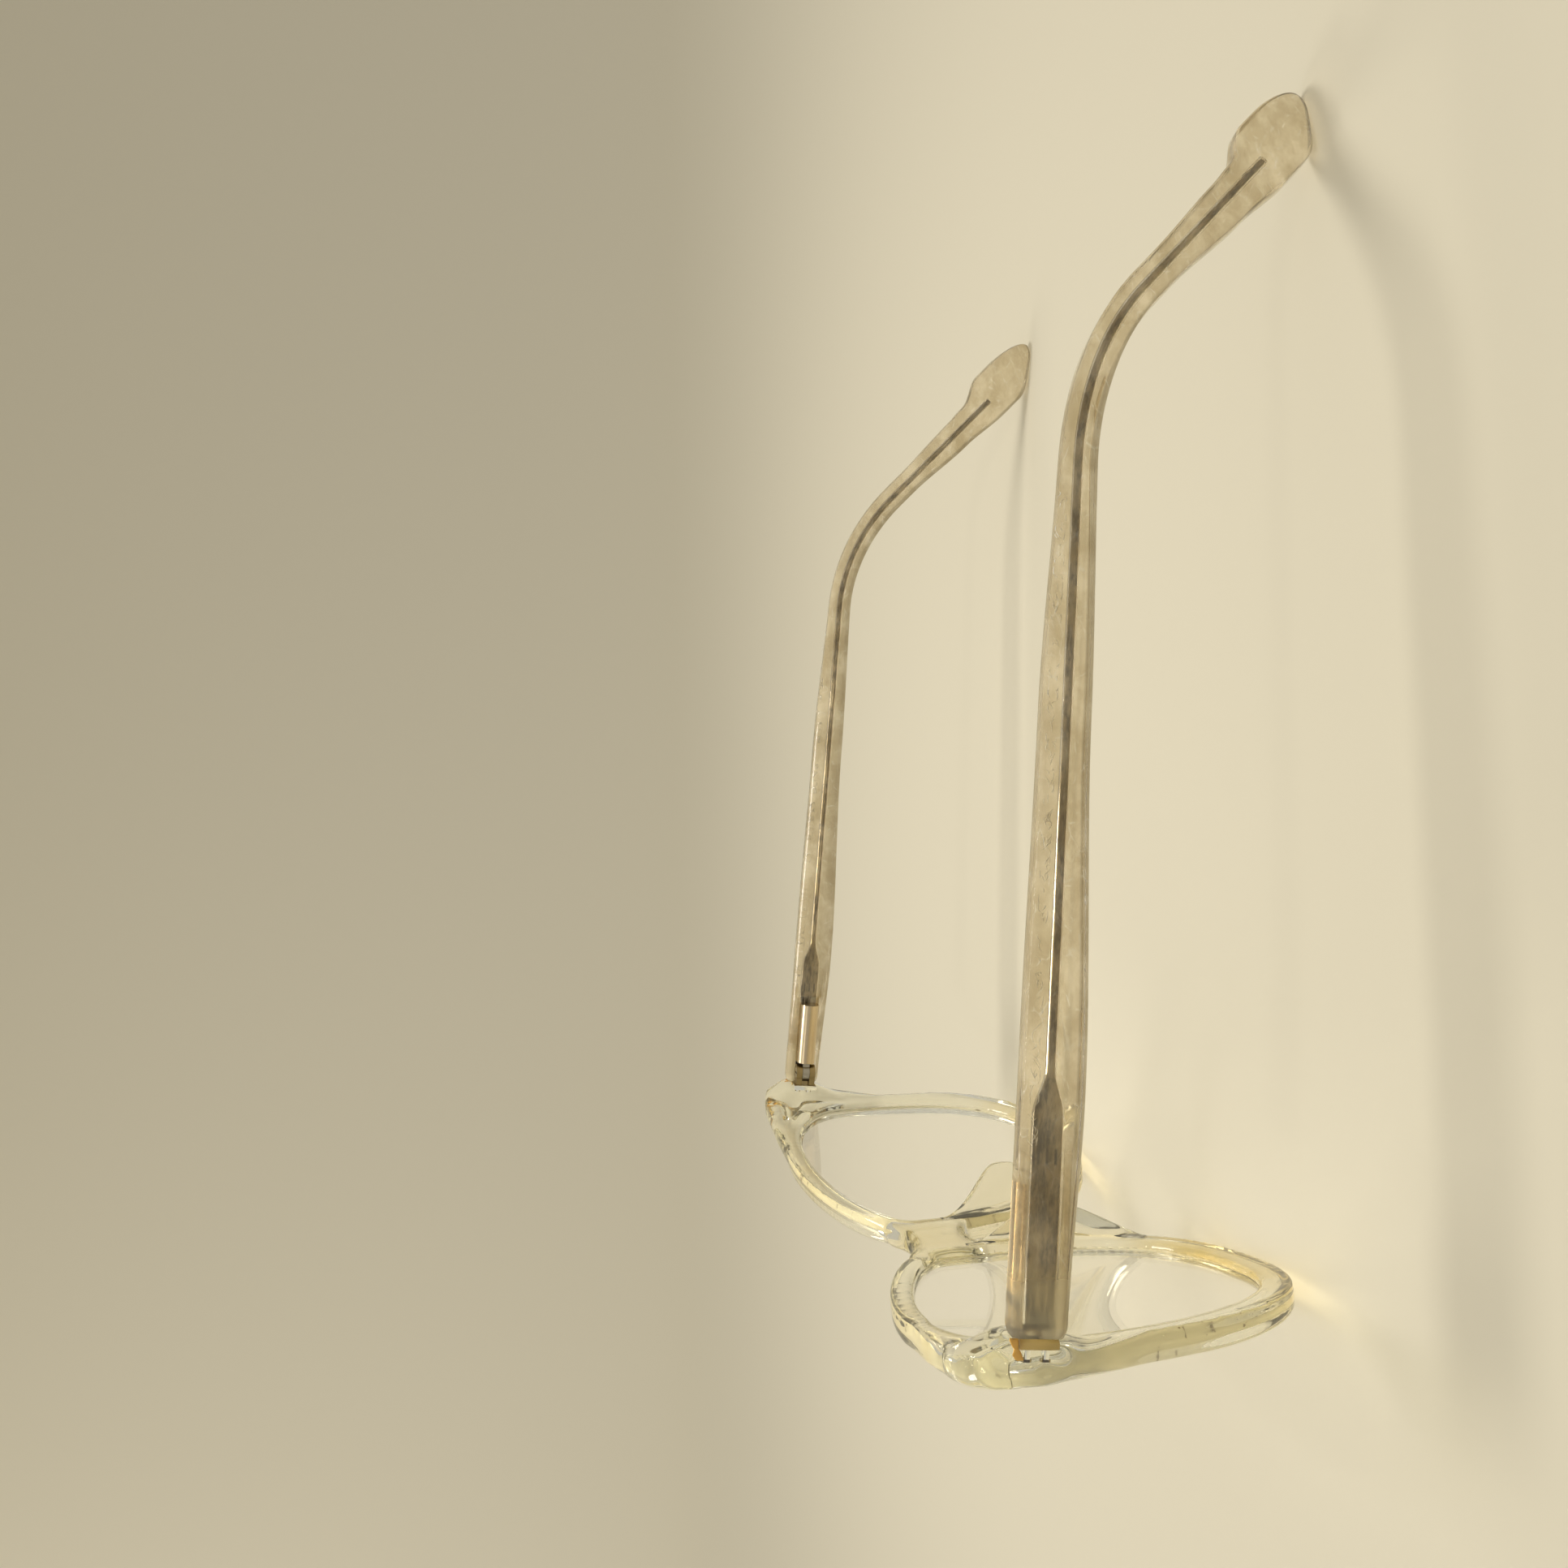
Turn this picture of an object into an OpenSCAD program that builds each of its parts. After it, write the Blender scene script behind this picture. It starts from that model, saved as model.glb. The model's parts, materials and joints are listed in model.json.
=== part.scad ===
// Full-rim acetate eyeglasses with wire-core temples on sprung hinges, standing on a table with the temples open.
// Each side is drawn once, for the wearer's left (+X), and mirrored for the right.

/* [Lens openings] */
// Middle of each lens opening's widest line, from the centre of the front
lens_x = 35; // [34:0.25:37]
// Height of that widest line above the temples' wire line
lens_z = -7.9; // [-9:0.1:-7]
// From there to the opening's nose side
lens_nose = 26.5; // [25.5:0.1:27.5]
// From there to the opening's temple side
lens_temple = 23.9; // [23:0.1:25]
// From there up to the opening's top
lens_brow = 10.1; // [9:0.1:11]
// From there down to the opening's bottom
lens_cheek = 28.9; // [27:0.1:30]
// How far the top of the opening leans towards the temple
brow_lean = 4.5; // [3:0.25:6]
// How square the upper outer corner is (2 is an ellipse)
brow_square = 2.1; // [2:0.05:2.6]
// How square the upper inner corner is, where the brow falls towards the nose
nose_square = 1.75; // [1.6:0.05:2]
// How square the two lower corners are
cheek_square = 2.45; // [2.1:0.05:2.8]
// Thickness of each lens
lens_t = 1.5; // [1.2:0.1:1.8]

/* [Front] */
// Width of the rim at the sides of a lens, seen from the front
rim_w = 4; // [3.6:0.1:4.4]
// Width of the rim above the lens
brow_w = 3; // [2.8:0.1:3.6]
// Width of the rim below the lens
cheek_w = 3.4; // [3:0.1:4]
// Depth of the rim from front to back
rim_t = 3.6; // [3.2:0.1:4.2]
// Chamfer on the rim's outer front edge
rim_edge = 1.1; // [0.6:0.1:1.4]
// Chamfer on the rim's inner front edge
lens_edge = 0.7; // [0.4:0.1:0.9]
// Softening of the rim's back edges
back_edge = 0.55; // [0.3:0.05:0.8]
// Depth of the groove that holds the lens
groove_depth = 0.7; // [0.5:0.05:0.9]
// Radius of the sphere that the front is bowed to
bow_radius = 270; // [240:2:320]
// Lean of the front against the temples, in degrees
front_tilt = 9.2; // [7:0.2:11]
// Height of the bridge at the middle of the front
bridge_h = 8.2; // [7:0.2:9]
// Top of the bridge above the temples' wire line
bridge_z = -5.2; // [-6:0.2:-4.4]
// Height of the end piece where it leaves the rim
lug_h = 16; // [14:0.5:17]

/* [Nose pads] */
// How far each pad stands behind the rim
pad_reach = 5.8; // [4:0.2:7]
// Splay of the pads, in degrees
pad_splay = 24; // [15:1:32]
// Width of a pad where it is glued to the rim
pad_w = 2.9; // [2.4:0.1:3.2]
// Thickness of a pad at its crest
pad_crest = 1.3; // [1:0.1:1.8]
// Glue line between a pad and the rim
glue = 0.05; // [0.04:0.01:0.1]

/* [Temples] */
// Distance between the two wire lines at the front ends of the temples
span = 134.2; // [130:0.5:138]
// Inward slope of each temple, in degrees
splay = 3.4; // [2:0.2:5]
// Straight run from the front end to the ear bend
straight = 85.6; // [80:0.5:92]
// Radius of the ear bend
ear_radius = 32; // [28:1:38]
// Angle of the ear bend, in degrees
ear_bend = 39.8; // [32:1:44]
// Run behind the ear bend, as far as the end of the core wire
ear_run = 23.2; // [20:0.5:28]
// Plain tip behind the end of the core wire
tip_run = 10.8; // [10:0.2:13]
// Inward turn of the ear part against the straight run, per millimetre
ear_inward = 0.21; // [0.1:0.01:0.26]
// Thickness of the temple at the hinge
temple_t = 3.2; // [3:0.1:3.8]
// Thickness of the temple at the ear
ear_t = 2.7; // [2.4:0.1:3]
// Height of the temple above the wire line at its front end
temple_up = 3.05; // [2.8:0.05:3.4]
// Height of the temple below the wire line at its front end
temple_down = 2.6; // [2.4:0.05:3]
// Height of the paddle tip above the wire line
paddle_up = 4.4; // [4:0.05:4.8]
// Height of the paddle tip below the wire line
paddle_down = 3.45; // [3:0.05:3.8]

/* [Core wires] */
// Length of the flat shoe that the spring box is soldered to
shoe_l = 20.2; // [18:0.2:22]
// Height of the shoe
shoe_h = 3; // [2.6:0.1:3.2]
// Thickness of the shoe
shoe_t = 0.9; // [0.7:0.05:1]
// Length of the taper from the shoe to the wire
shoe_taper = 4; // [3:0.2:6]
// Diameter of the round wire
wire_d = 1.05; // [0.8:0.05:1.3]

/* [Hinges] */
// Distance from the wire line inwards to the hinge axis
axis_in = 2.4; // [2.2:0.05:2.6]
// Distance from the temple's front end back to the hinge axis
axis_back = 1.9; // [1.75:0.05:2.1]
// Radius of the hinge barrels
barrel_r = 1.5; // [1.35:0.05:1.6]
// Height of the whole stack of barrels
barrel_h = 3.3; // [3:0.1:3.4]
// Height of the slider's eye between them
eye_h = 1.2; // [1:0.1:1.4]
// Radius of the hinge screw
screw_r = 0.6; // [0.5:0.05:0.7]
// Radius of the screw's head
head_r = 1; // [0.9:0.05:1.1]
// Length of the spring box
box_l = 10.5; // [9.5:0.1:11.5]
// Gap from the barrels to the spring box
box_gap = 0.4; // [0.3:0.05:0.6]
// Diameter of the slider's rod
rod_d = 0.8; // [0.7:0.05:0.9]
// Thickness of the front hinge leaf's plate
leaf_t = 1; // [0.8:0.1:1.2]
// Length of the two prongs that hold the leaf in the end piece
prong_l = 1.3; // [1:0.1:1.6]

/* [Springs] */
// Diameter of the spring's wire
spring_wire = 0.34; // [0.28:0.02:0.36]
// Turns of the spring
spring_turns = 7; // [5:1:7]

/* [Clearances] */
// Running clearance of the hinge screw in its bores
run_gap = 0.05; // [0.03:0.01:0.08]
// Clearance of the lens in its groove
lens_gap = 0.08; // [0.05:0.01:0.12]
// Clearance round metal that is bedded in acetate
bed_gap = 0.03; // [0.02:0.01:0.05]
// Gap between the end piece and the temple's front end
butt_gap = 0.1; // [0.08:0.01:0.15]
// Clearance of the slider in the spring box
slide_gap = 0.04; // [0.03:0.01:0.06]

/* [Hidden] */

// Small overlap that lets one cut run clear through another face
cut = 0.5;

// Soft step from 0 at a to 1 at b
function ease(x, a, b) = let(t = max(0, min(1, (x - a) / (b - a)))) t * t * (3 - 2 * t);
// Soft path through a list of [station, value] pairs
function along(list, x, i = 0) =
    i >= len(list) - 2 || x <= list[i + 1][0]
        ? list[i][1] + (list[i + 1][1] - list[i][1]) * ease(x, list[i][0], list[i + 1][0])
        : along(list, x, i + 1);

// Skin over equal rings of points: one shell, closed round each ring, capped or joined end to end
module skin(rings, loop = false) {
    n = len(rings);
    m = len(rings[0]);
    last = loop ? n : n - 1;
    walls = [for (i = [0:last - 1], j = [0:m - 1], half = [0, 1])
        let(a = i * m + j, b = i * m + (j + 1) % m, c = ((i + 1) % n) * m + (j + 1) % m, d = ((i + 1) % n) * m + j)
        half == 0 ? [a, b, c] : [a, c, d]];
    caps = loop ? [] : [for (j = [1:m - 2], end = [0, 1])
        end == 0 ? [0, j + 1, j] : [(n - 1) * m, (n - 1) * m + j, (n - 1) * m + j + 1]];
    polyhedron(points = [for (r = rings, p = r) p], faces = concat(walls, caps), convexity = 6);
}

// FRONT

ring_steps = 72;
function power(c, n) = sign(c) * pow(abs(c), 2 / n);
// Point on the lens opening's outline moved out by e, at the angle t round the widest line's middle
function corner(c, s) = s < 0 ? cheek_square : c > 0 ? brow_square : nose_square;
function outline(e, t) =
    let(c = cos(t), s = sin(t), n = corner(c, s))
    let(half_x = e + (c > 0 ? lens_temple : lens_nose), half_z = e + (s > 0 ? lens_brow : lens_cheek))
    [lens_x + half_x * power(c, n) + brow_lean * pow(max(0, s), 2), lens_z + half_z * power(s, n)];
// The front's face is a sphere whose foremost point lies this far below the wire line
bow_low = 18;
function bow(x, z) = bow_radius - sqrt(pow(bow_radius, 2) - pow(x, 2) - pow(z + bow_low, 2));
function on_front(p, depth) = [p[0], bow(p[0], p[1]) + depth, p[1]];

// The foremost point of the face stands so that the end pieces' backs stop short of the temples
lug_back = 1.6;
front_y = -(bow(span / 2, 0) + rim_t) * cos(front_tilt) - lug_back;

// Carries the front's own upright frame to its leaning place
module lean_front() {
    translate([0, front_y, 0]) rotate([front_tilt, 0, 0]) children();
}

groove_w = lens_t + 2 * lens_gap;
groove_y = (rim_t - groove_w) / 2;
// The rim's width changes softly from its sides to its brow and its cheek
function rim_width(t) = rim_w + ((sin(t) > 0 ? brow_w : cheek_w) - rim_w) * pow(sin(t), 2);
// Section of the rim at the angle t as [distance out from the opening, depth from the face]
function rim_section(t) = let(w = rim_width(t), soft = 0.3 * rim_edge)
    [[0, lens_edge], [lens_edge, 0], [w - rim_edge, 0], [w - soft, soft], [w, rim_edge], [w, rim_t - back_edge],
     [w - back_edge, rim_t], [back_edge, rim_t], [0, rim_t - back_edge], [0, groove_y + groove_w],
     [groove_depth, groove_y + groove_w], [groove_depth, groove_y], [0, groove_y]];
function rim_ring(t) = [for (q = rim_section(t)) on_front(outline(q[0], t), q[1])];

module rim() {
    skin([for (i = [ring_steps:-1:1]) rim_ring(360 * i / ring_steps)], loop = true);
}

// Half of the bridge's run, which ends inside the rims
bridge_in = 0.6;
bridge_run = lens_x - lens_nose - groove_depth - bridge_in;
bridge_steps = 8;
// The bridge rises towards each rim, and its lower edge drops a little
bridge_rise = 2.4;
bridge_drop = 2.6;
function bridge_top(x) = bridge_z + bridge_rise * pow(x / bridge_run, 2);
function bridge_low(x) = bridge_z - bridge_h - bridge_drop * pow(x / bridge_run, 2);
module bridge() {
    skin([for (i = [-bridge_steps:bridge_steps]) let(x = bridge_run * i / bridge_steps)
        [for (q = [[0, rim_edge, 0], [0, 0.3 * rim_edge, 0.3 * rim_edge], [0, 0, rim_edge],
                   [1, 0, rim_edge], [1, 0.3 * rim_edge, 0.3 * rim_edge], [1, rim_edge, 0],
                   [1, rim_t - back_edge, 0], [1, rim_t, back_edge], [0, rim_t, back_edge],
                   [0, rim_t - back_edge, 0]])
            on_front([x, q[0] == 1 ? bridge_top(x) - q[2] : bridge_low(x) + q[2]], q[1])]]);
}

// Carries the temple's frame: its origin on the wire line at the front end, +Y along the temple, +X outwards
module at_temple() {
    translate([span / 2, 0, 0]) rotate([0, 0, splay]) children();
}

leaf_in = barrel_r + 0.1;
leaf_out = 2.6;
leaf_h = 3.9;
// Inner edge of the end piece's back face, past the leaf's plate
lug_in = axis_in + leaf_in + 0.6;
lug_soft = 0.6;
lug_nick = 0.8;
lug_steps = 6;
butt_t = 0.4;
// The end piece starts in the rim and ends past the wire line
lug_from = lens_x + lens_temple + rim_w * 0.45;
lug_to = span / 2 + 0.4;
lug_rise = 2.6;
lug_fall = 1.5;
lug_end_h = 12.4;
lug_round = 1.4;
// Thin upright slab of the end piece at the distance x from the middle, with its outer front edges softened
slab_t = 0.2;
module slab(x, low, top, soft) {
    skin([[for (q = [[soft, low], [rim_t, low], [rim_t, top], [soft, top]]) on_slab(x, top, q)],
        [for (q = [[0.2 * soft, low + soft], [rim_t, low + soft], [rim_t, top - soft], [0, top - soft]])
            on_slab(x, top, q) + [slab_t, 0, 0]]]);
}
// Its front edge is straight and its back follows the front's own back
function on_slab(x, top, q) = [x, bow(x, q[0] < rim_t ? top : q[1]) + q[0], q[1]];
// Brow end of the end piece's upper edge
brow_x = lens_x + lens_temple - 12;
brow_top = lens_z + lens_brow + brow_w - 0.5;
brow_low = brow_top - 1.2;

// One end piece: it grows out of the rim's upper corner and turns back to meet the temple squarely
module end_piece() {
    hull() {
        at_temple() translate([0, -butt_gap, 0]) rotate([90, 0, 0]) linear_extrude(butt_t)
            polygon([[-lug_in, lug_nick - temple_down], [lug_soft - lug_in, -temple_down],
                [temple_t / 2 - lug_soft, -temple_down], [temple_t / 2, lug_soft - temple_down],
                [temple_t / 2, temple_up - lug_soft], [temple_t / 2 - lug_soft, temple_up],
                [lug_soft - lug_in, temple_up], [-lug_in, temple_up - lug_nick]]);
        lean_front() for (i = [0:lug_steps]) let(
                k = i / lug_steps,
                top = temple_up + lug_rise - lug_fall * k * k,
                h = lug_h + (lug_end_h - lug_h) * ease(k, 0, 1))
            slab(lug_from + (lug_to - lug_from) * k, top - h, top, rim_edge + lug_round * ease(k, 0.5, 1));
    }
    lean_front() hull() {
        slab(brow_x, brow_low, brow_top, 0.4);
        slab(lug_from, brow_low - 2, temple_up + lug_rise, rim_edge);
    }
}

module half_front() {
    lean_front() rim();
    end_piece();
}

module front() {
    color([0.93, 0.89, 0.72, 0.5]) seated() difference() {
        union() {
            half_front();
            mirror([1, 0, 0]) half_front();
            lean_front() bridge();
        }
        for (side = [0, 1]) mirror([side, 0, 0]) at_temple() hinge_leaf_shape(bed_gap);
    }
}

// Each lens is a shell between two spheres, cut to the opening's outline
lens_facets = 360;
lens_reach = 40;
module lens() {
    edge = groove_depth - lens_gap;
    depth = groove_y + lens_gap;
    lean_front() difference() {
        intersection() {
            rotate([90, 0, 0]) translate([0, 0, -lens_reach / 2]) linear_extrude(lens_reach)
                polygon([for (i = [0:ring_steps - 1]) outline(edge, 360 * i / ring_steps)]);
            translate([0, bow_radius + depth, -bow_low]) sphere(r = bow_radius, $fn = lens_facets);
        }
        translate([0, bow_radius + depth + lens_t, -bow_low]) sphere(r = bow_radius, $fn = lens_facets);
    }
}

// NOSE PADS

// A pad runs along the nose side of the rim between these angles, and its crest is highest at pad_peak
pad_from = 184;
pad_peak = 203;
pad_to = 232;
pad_steps = 16;
function pad_height(t) = pad_reach * (t < pad_peak
    ? ease(t, pad_from - 1, pad_peak) : pow(1 - ease(t, pad_peak, pad_to + 2), 0.8));
function pad_ring(t) =
    let(h = pad_height(t), mid = rim_width(t) / 2 + 0.15, out = h * tan(pad_splay))
    let(half = pad_w / 2 * (0.45 + 0.55 * min(1, h / 2)), crest = min(pad_crest, half))
    [for (q = [[mid - half, 0], [mid + half, 0], [mid + half - 0.15 * out, 0.3 * h],
               [mid + crest / 2 - 0.85 * out, 0.85 * h], [mid + crest / 4 - out, h],
               [mid - crest / 4 - out, h], [mid - crest / 2 - 0.85 * out, 0.88 * h],
               [mid - half - 0.15 * out, 0.3 * h]])
        on_front(outline(q[0], t), rim_t + glue + q[1])];
module nose_pad() {
    lean_front() skin([for (i = [pad_steps:-1:0]) pad_ring(pad_from + (pad_to - pad_from) * i / pad_steps)]);
}

// TEMPLES

bend_l = ear_radius * ear_bend * PI / 180;
bend_end = straight + bend_l;
wire_end = bend_end + ear_run;
tip_end = wire_end + tip_run;
inward_soft = 14;
// Inward shift of the ear part at the station s, started softly
function inward(s) = let(t = max(0, s - straight))
    ear_inward * (t < inward_soft ? t * t / (2 * inward_soft) : t - inward_soft / 2);
function turn(s) = ear_bend * max(0, min(1, (s - straight) / bend_l));
// Place of the station s on the wire line, in the temple's frame
function on_wire(s) = let(a = turn(s), past = max(0, s - bend_end)) [
    -inward(s),
    min(s, straight) + ear_radius * sin(a) + past * cos(a),
    -ear_radius * (1 - cos(a)) - past * sin(a)];
// Frame of the temple's section there: sideways, and up across the temple
function unit(v) = v / norm(v);
function heading(s) = unit(on_wire(s + 0.01) - on_wire(s - 0.01));
function sideways(s) = let(d = heading(s)) unit([d[1], -d[0], 0]);
function upwards(s) = cross(sideways(s), heading(s));
function at_station(s, side, up) = on_wire(s) + side * sideways(s) + up * upwards(s);

// Height of the temple above and below the wire line, and its thickness, along its length
top_line = [[0, temple_up], [27, temple_up - 0.1], [60, temple_up - 0.4], [90, 1.75], [112, 1.75],
    [wire_end - 8, 2.1], [wire_end - 4, 2.3], [wire_end + 1.2, paddle_up], [tip_end, paddle_up]];
low_line = [[0, temple_down], [24, temple_down + 0.8], [60, temple_down - 0.25], [90, 1.85], [wire_end - 16, 1.95],
    [wire_end - 7, 2.55], [wire_end + 1, paddle_down], [wire_end + 4, paddle_down], [tip_end, 1.4]];
thick_line = [[0, temple_t], [40, temple_t - 0.2], [90, ear_t], [wire_end - 6, ear_t],
    [wire_end + 4, ear_t + 0.2], [tip_end, ear_t - 0.3]];
// The tip rounds off over its last stretch
round_run = 7;
function roundness(s) = let(t = max(0, s - (tip_end - round_run)) / round_run) sqrt(max(0, 1 - t * t));
// Height of the tip's last point above the wire line
tip_mid = 2.2;
function upper(s) = tip_mid * (1 - roundness(s)) + roundness(s) * along(top_line, s);
function lower(s) = -tip_mid * (1 - roundness(s)) + roundness(s) * along(low_line, s);
function half_t(s) = along(thick_line, s) / 2 * (0.35 + 0.65 * roundness(s));

bend_steps = 12;
temple_stations = concat(
    [0.35, 9, 18, 27, 36, 45, 54, 63, 72, 80],
    [for (i = [0:bend_steps]) straight + bend_l * i / bend_steps],
    [for (s = [5:5:ear_run - 4]) bend_end + s],
    [for (d = [-3:1.6:tip_run - round_run - 0.4]) wire_end + d],
    [for (a = [20, 40, 58, 72, 82, 88]) tip_end - round_run * (1 - sin(a))]);

// Section of the temple, walked round from the outer lower edge
function temple_ring(s, inset = 0) =
    let(h = half_t(s) - inset, u = upper(s) - inset, l = lower(s) - inset)
    let(e = min(0.7, 0.4 * h + 0.1, 0.4 * (u + l)), f = min(0.5, 0.4 * h, 0.4 * (u + l)))
    [for (q = [[h - 0.35 * f, -l + 0.35 * f], [h, -l + 1.2 * f], [h, u - e], [h - 0.3 * e, u - 0.35 * e],
               [h - e, u], [-h + e, u], [-h + 0.3 * e, u - 0.3 * e], [-h, u - e],
               [-h, -l + 1.2 * f], [-h + 0.35 * f, -l + 0.35 * f], [-h + 1.2 * f, -l], [h - 1.2 * f, -l]])
        at_station(s, q[0], q[1])];
// The front end has its edges taken off
function front_ring() = [for (p = temple_ring(0, 0.3)) [p[0], 0, p[2]]];

module temple_body() {
    skin(concat([front_ring()], [for (s = temple_stations) temple_ring(s)]));
}

// Core: a flat shoe under the spring box, a taper, and a round wire to the ear
shoe_from = 1.3;
shoe_end = shoe_from + shoe_l;
taper_end = shoe_end + shoe_taper;
shoe_up = 0.1;
wire_sides = 8;
core_stations = concat([shoe_from, shoe_end - 1],
    [for (i = [0:4]) shoe_end + shoe_taper * i / 4],
    [for (s = [taper_end + 20:20:straight - 5]) s],
    [for (i = [0:bend_steps]) straight + bend_l * i / bend_steps],
    [bend_end + ear_run / 2, wire_end]);
function shoe_share(s) = 1 - ease(s, shoe_end - 0.5, taper_end);
function core_ring(s, gap) =
    let(k = shoe_share(s), r = wire_d / 2 + gap)
    let(hh = r + k * (shoe_h - wire_d) / 2, ht = r + k * (shoe_t - wire_d) / 2)
    [for (i = [0:wire_sides - 1]) let(a = 360 * (i + 0.5) / wire_sides, square = 1 - 0.2 * k,
            c = cos(a), w = sin(a), big = max(abs(c), abs(w)))
        at_station(s, ht * (k * c / big * (abs(c) > 0.9 ? 1 : abs(c) / cos(22.5)) + (1 - k) * c),
            shoe_up * k + hh * (k * w / big * (abs(w) > 0.9 ? 1 : square) + (1 - k) * w))];
module core_body(gap) {
    skin([for (i = [0:len(core_stations) - 1])
        core_ring(core_stations[i] + (i == 0 ? -gap : i == len(core_stations) - 1 ? gap : 0), gap)]);
}

// HINGE

// Carries the frame of the hinge axis
module at_axis() {
    translate([-axis_in, axis_back, 0]) children();
}

box_from = barrel_r + box_gap;
box_wall = 1.5;
box_nose = 1.6;
box_out = axis_in - shoe_t / 2;
box_bore = 1.15;
box_end_wall = 0.9;
box_pocket_h = barrel_h / 2 + 0.1;
notch = 1.2;

module box_profile(grow = 0) {
    union() {
        circle(r = box_nose + grow, $fn = 48);
        translate([0, -box_nose - grow]) square([box_out, 2 * (box_nose + grow)]);
    }
}

module temple() {
    color([0.86, 0.82, 0.72]) at_temple() difference() {
        temple_body();
        core_body(bed_gap);
        translate([-temple_t, -cut, -box_pocket_h])
            cube([temple_t - shoe_t / 2, cut + axis_back + box_from + box_l + notch, 2 * box_pocket_h]);
    }
}

module core_wire() {
    color([0.66, 0.58, 0.45]) at_temple() core_body(0);
}

guide_x = 0.9;
block_end = box_from + box_wall - 0.02;
rod_end = box_from + box_l - box_end_wall - 1.2;
nut_l = 0.9;

module spring_box() {
    color([0.75, 0.72, 0.66]) at_temple() at_axis() difference() {
        translate([0, box_from, 0]) rotate([-90, 0, 0]) linear_extrude(box_l) mirror([0, 1, 0]) box_profile();
        translate([-guide_x - slide_gap, box_from - cut, -eye_h / 2 - slide_gap])
            cube([2 * (guide_x + slide_gap), box_wall + 2 * cut, eye_h + 2 * slide_gap]);
        translate([0, box_from + box_wall, 0]) rotate([-90, 0, 0])
            cylinder(r = box_bore, h = box_l - box_wall - box_end_wall, $fn = 48);
    }
}

module slider() {
    color([0.72, 0.70, 0.66]) at_temple() at_axis() difference() {
        union() {
            translate([0, 0, -eye_h / 2]) cylinder(r = barrel_r, h = eye_h, $fn = 48);
            translate([-guide_x, barrel_r * 0.5, -eye_h / 2]) cube([2 * guide_x, block_end - barrel_r * 0.5, eye_h]);
            translate([0, block_end - 0.1, 0]) rotate([-90, 0, 0])
                cylinder(d = rod_d, h = rod_end - block_end + 0.1, $fn = 32);
        }
        translate([0, 0, -eye_h]) cylinder(r = screw_r + run_gap, h = 2 * eye_h, $fn = 48);
    }
}

nut_seat = rod_end - nut_l + 0.1;
module slider_nut() {
    color([0.72, 0.70, 0.66]) at_temple() at_axis() translate([0, nut_seat, 0]) rotate([-90, 0, 0])
        difference() {
            cylinder(r = box_bore - 0.1, h = nut_l, $fn = 48);
            translate([0, 0, -cut]) cylinder(d = rod_d + 0.02, h = nut_l + 2 * cut, $fn = 48);
        }
}

// The spring is one unbroken tube, pressed between the box's front wall and the nut
spring_r = box_bore - 0.12 - spring_wire / 2;
spring_from = box_from + box_wall + spring_wire / 2 + 0.02;
spring_to = nut_seat - spring_wire / 2 - 0.02;
spring_rings = 8;
spring_sides = 6;
spring_pitch = (spring_to - spring_from) / spring_turns;
function coil_point(a) = [spring_r * cos(a), spring_from + spring_pitch * a / 360, spring_r * sin(a)];
function coil_ring(a) =
    let(out = [cos(a), 0, sin(a)], arc = spring_r * PI / 180)
    let(run = unit([-sin(a) * arc, spring_pitch / 360, cos(a) * arc]))
    [for (j = [0:spring_sides - 1]) let(b = 360 * j / spring_sides)
        coil_point(a) + spring_wire / 2 * (cos(b) * out + sin(b) * cross(out, run))];
module return_spring() {
    color([0.8, 0.8, 0.8]) at_temple() at_axis()
        skin([for (i = [0:spring_turns * spring_rings]) coil_ring(360 * i / spring_rings)]);
}
echo(spring_self_gap = min([for (i = [0:spring_rings - 1])
    norm(coil_point(360 * i / spring_rings) - coil_point(360 + 360 * i / spring_rings))]) - spring_wire);

// Front leaf: a plate bedded in the end piece with two prongs, and two barrels that hold the screw
prong_w = 0.5;
prong_z = 0.95;
prong_x = -0.9;
module hinge_leaf_shape(gap) {
    translate([-axis_in - leaf_in - gap, -butt_gap - leaf_t - gap, -leaf_h / 2 - gap])
        cube([leaf_in + leaf_out + 2 * gap, leaf_t + gap + (gap > 0 ? cut : 0), leaf_h + 2 * gap]);
    for (side = [-1, 1]) translate([prong_x, -butt_gap - leaf_t, side * prong_z]) {
        translate([-prong_w - gap, -prong_l - gap, -prong_w / 2 - gap])
            cube([2 * prong_w + 2 * gap, prong_l + gap + 0.1, prong_w + 2 * gap]);
        translate([-prong_w - gap, -prong_l - gap, -0.42 - gap])
            cube([2 * prong_w + 2 * gap, 0.38 + 2 * gap, 0.84 + 2 * gap]);
    }
}

barrel_gap = 0.05;
one_barrel = (barrel_h - eye_h) / 2 - barrel_gap;
neck_in = 1.3;
neck_out = 0.2;
head_h = 0.5;
module hinge_leaf() {
    color([0.74, 0.66, 0.45]) at_temple() difference() {
        union() {
            hinge_leaf_shape(0);
            at_axis() for (side = [0, 1]) mirror([0, 0, side]) translate([0, 0, eye_h / 2 + barrel_gap]) {
                cylinder(r = barrel_r, h = one_barrel, $fn = 48);
                translate([-neck_in, -axis_back - butt_gap - 0.05, 0])
                    cube([neck_in + neck_out, axis_back + butt_gap - barrel_r * 0.5, one_barrel]);
            }
        }
        at_axis() {
            translate([0, 0, -barrel_h]) cylinder(r = screw_r + run_gap, h = 2 * barrel_h, $fn = 48);
            translate([0, 0, barrel_h / 2 - head_h - run_gap]) cylinder(r = head_r + run_gap, h = head_h + cut, $fn = 48);
        }
    }
}

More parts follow.
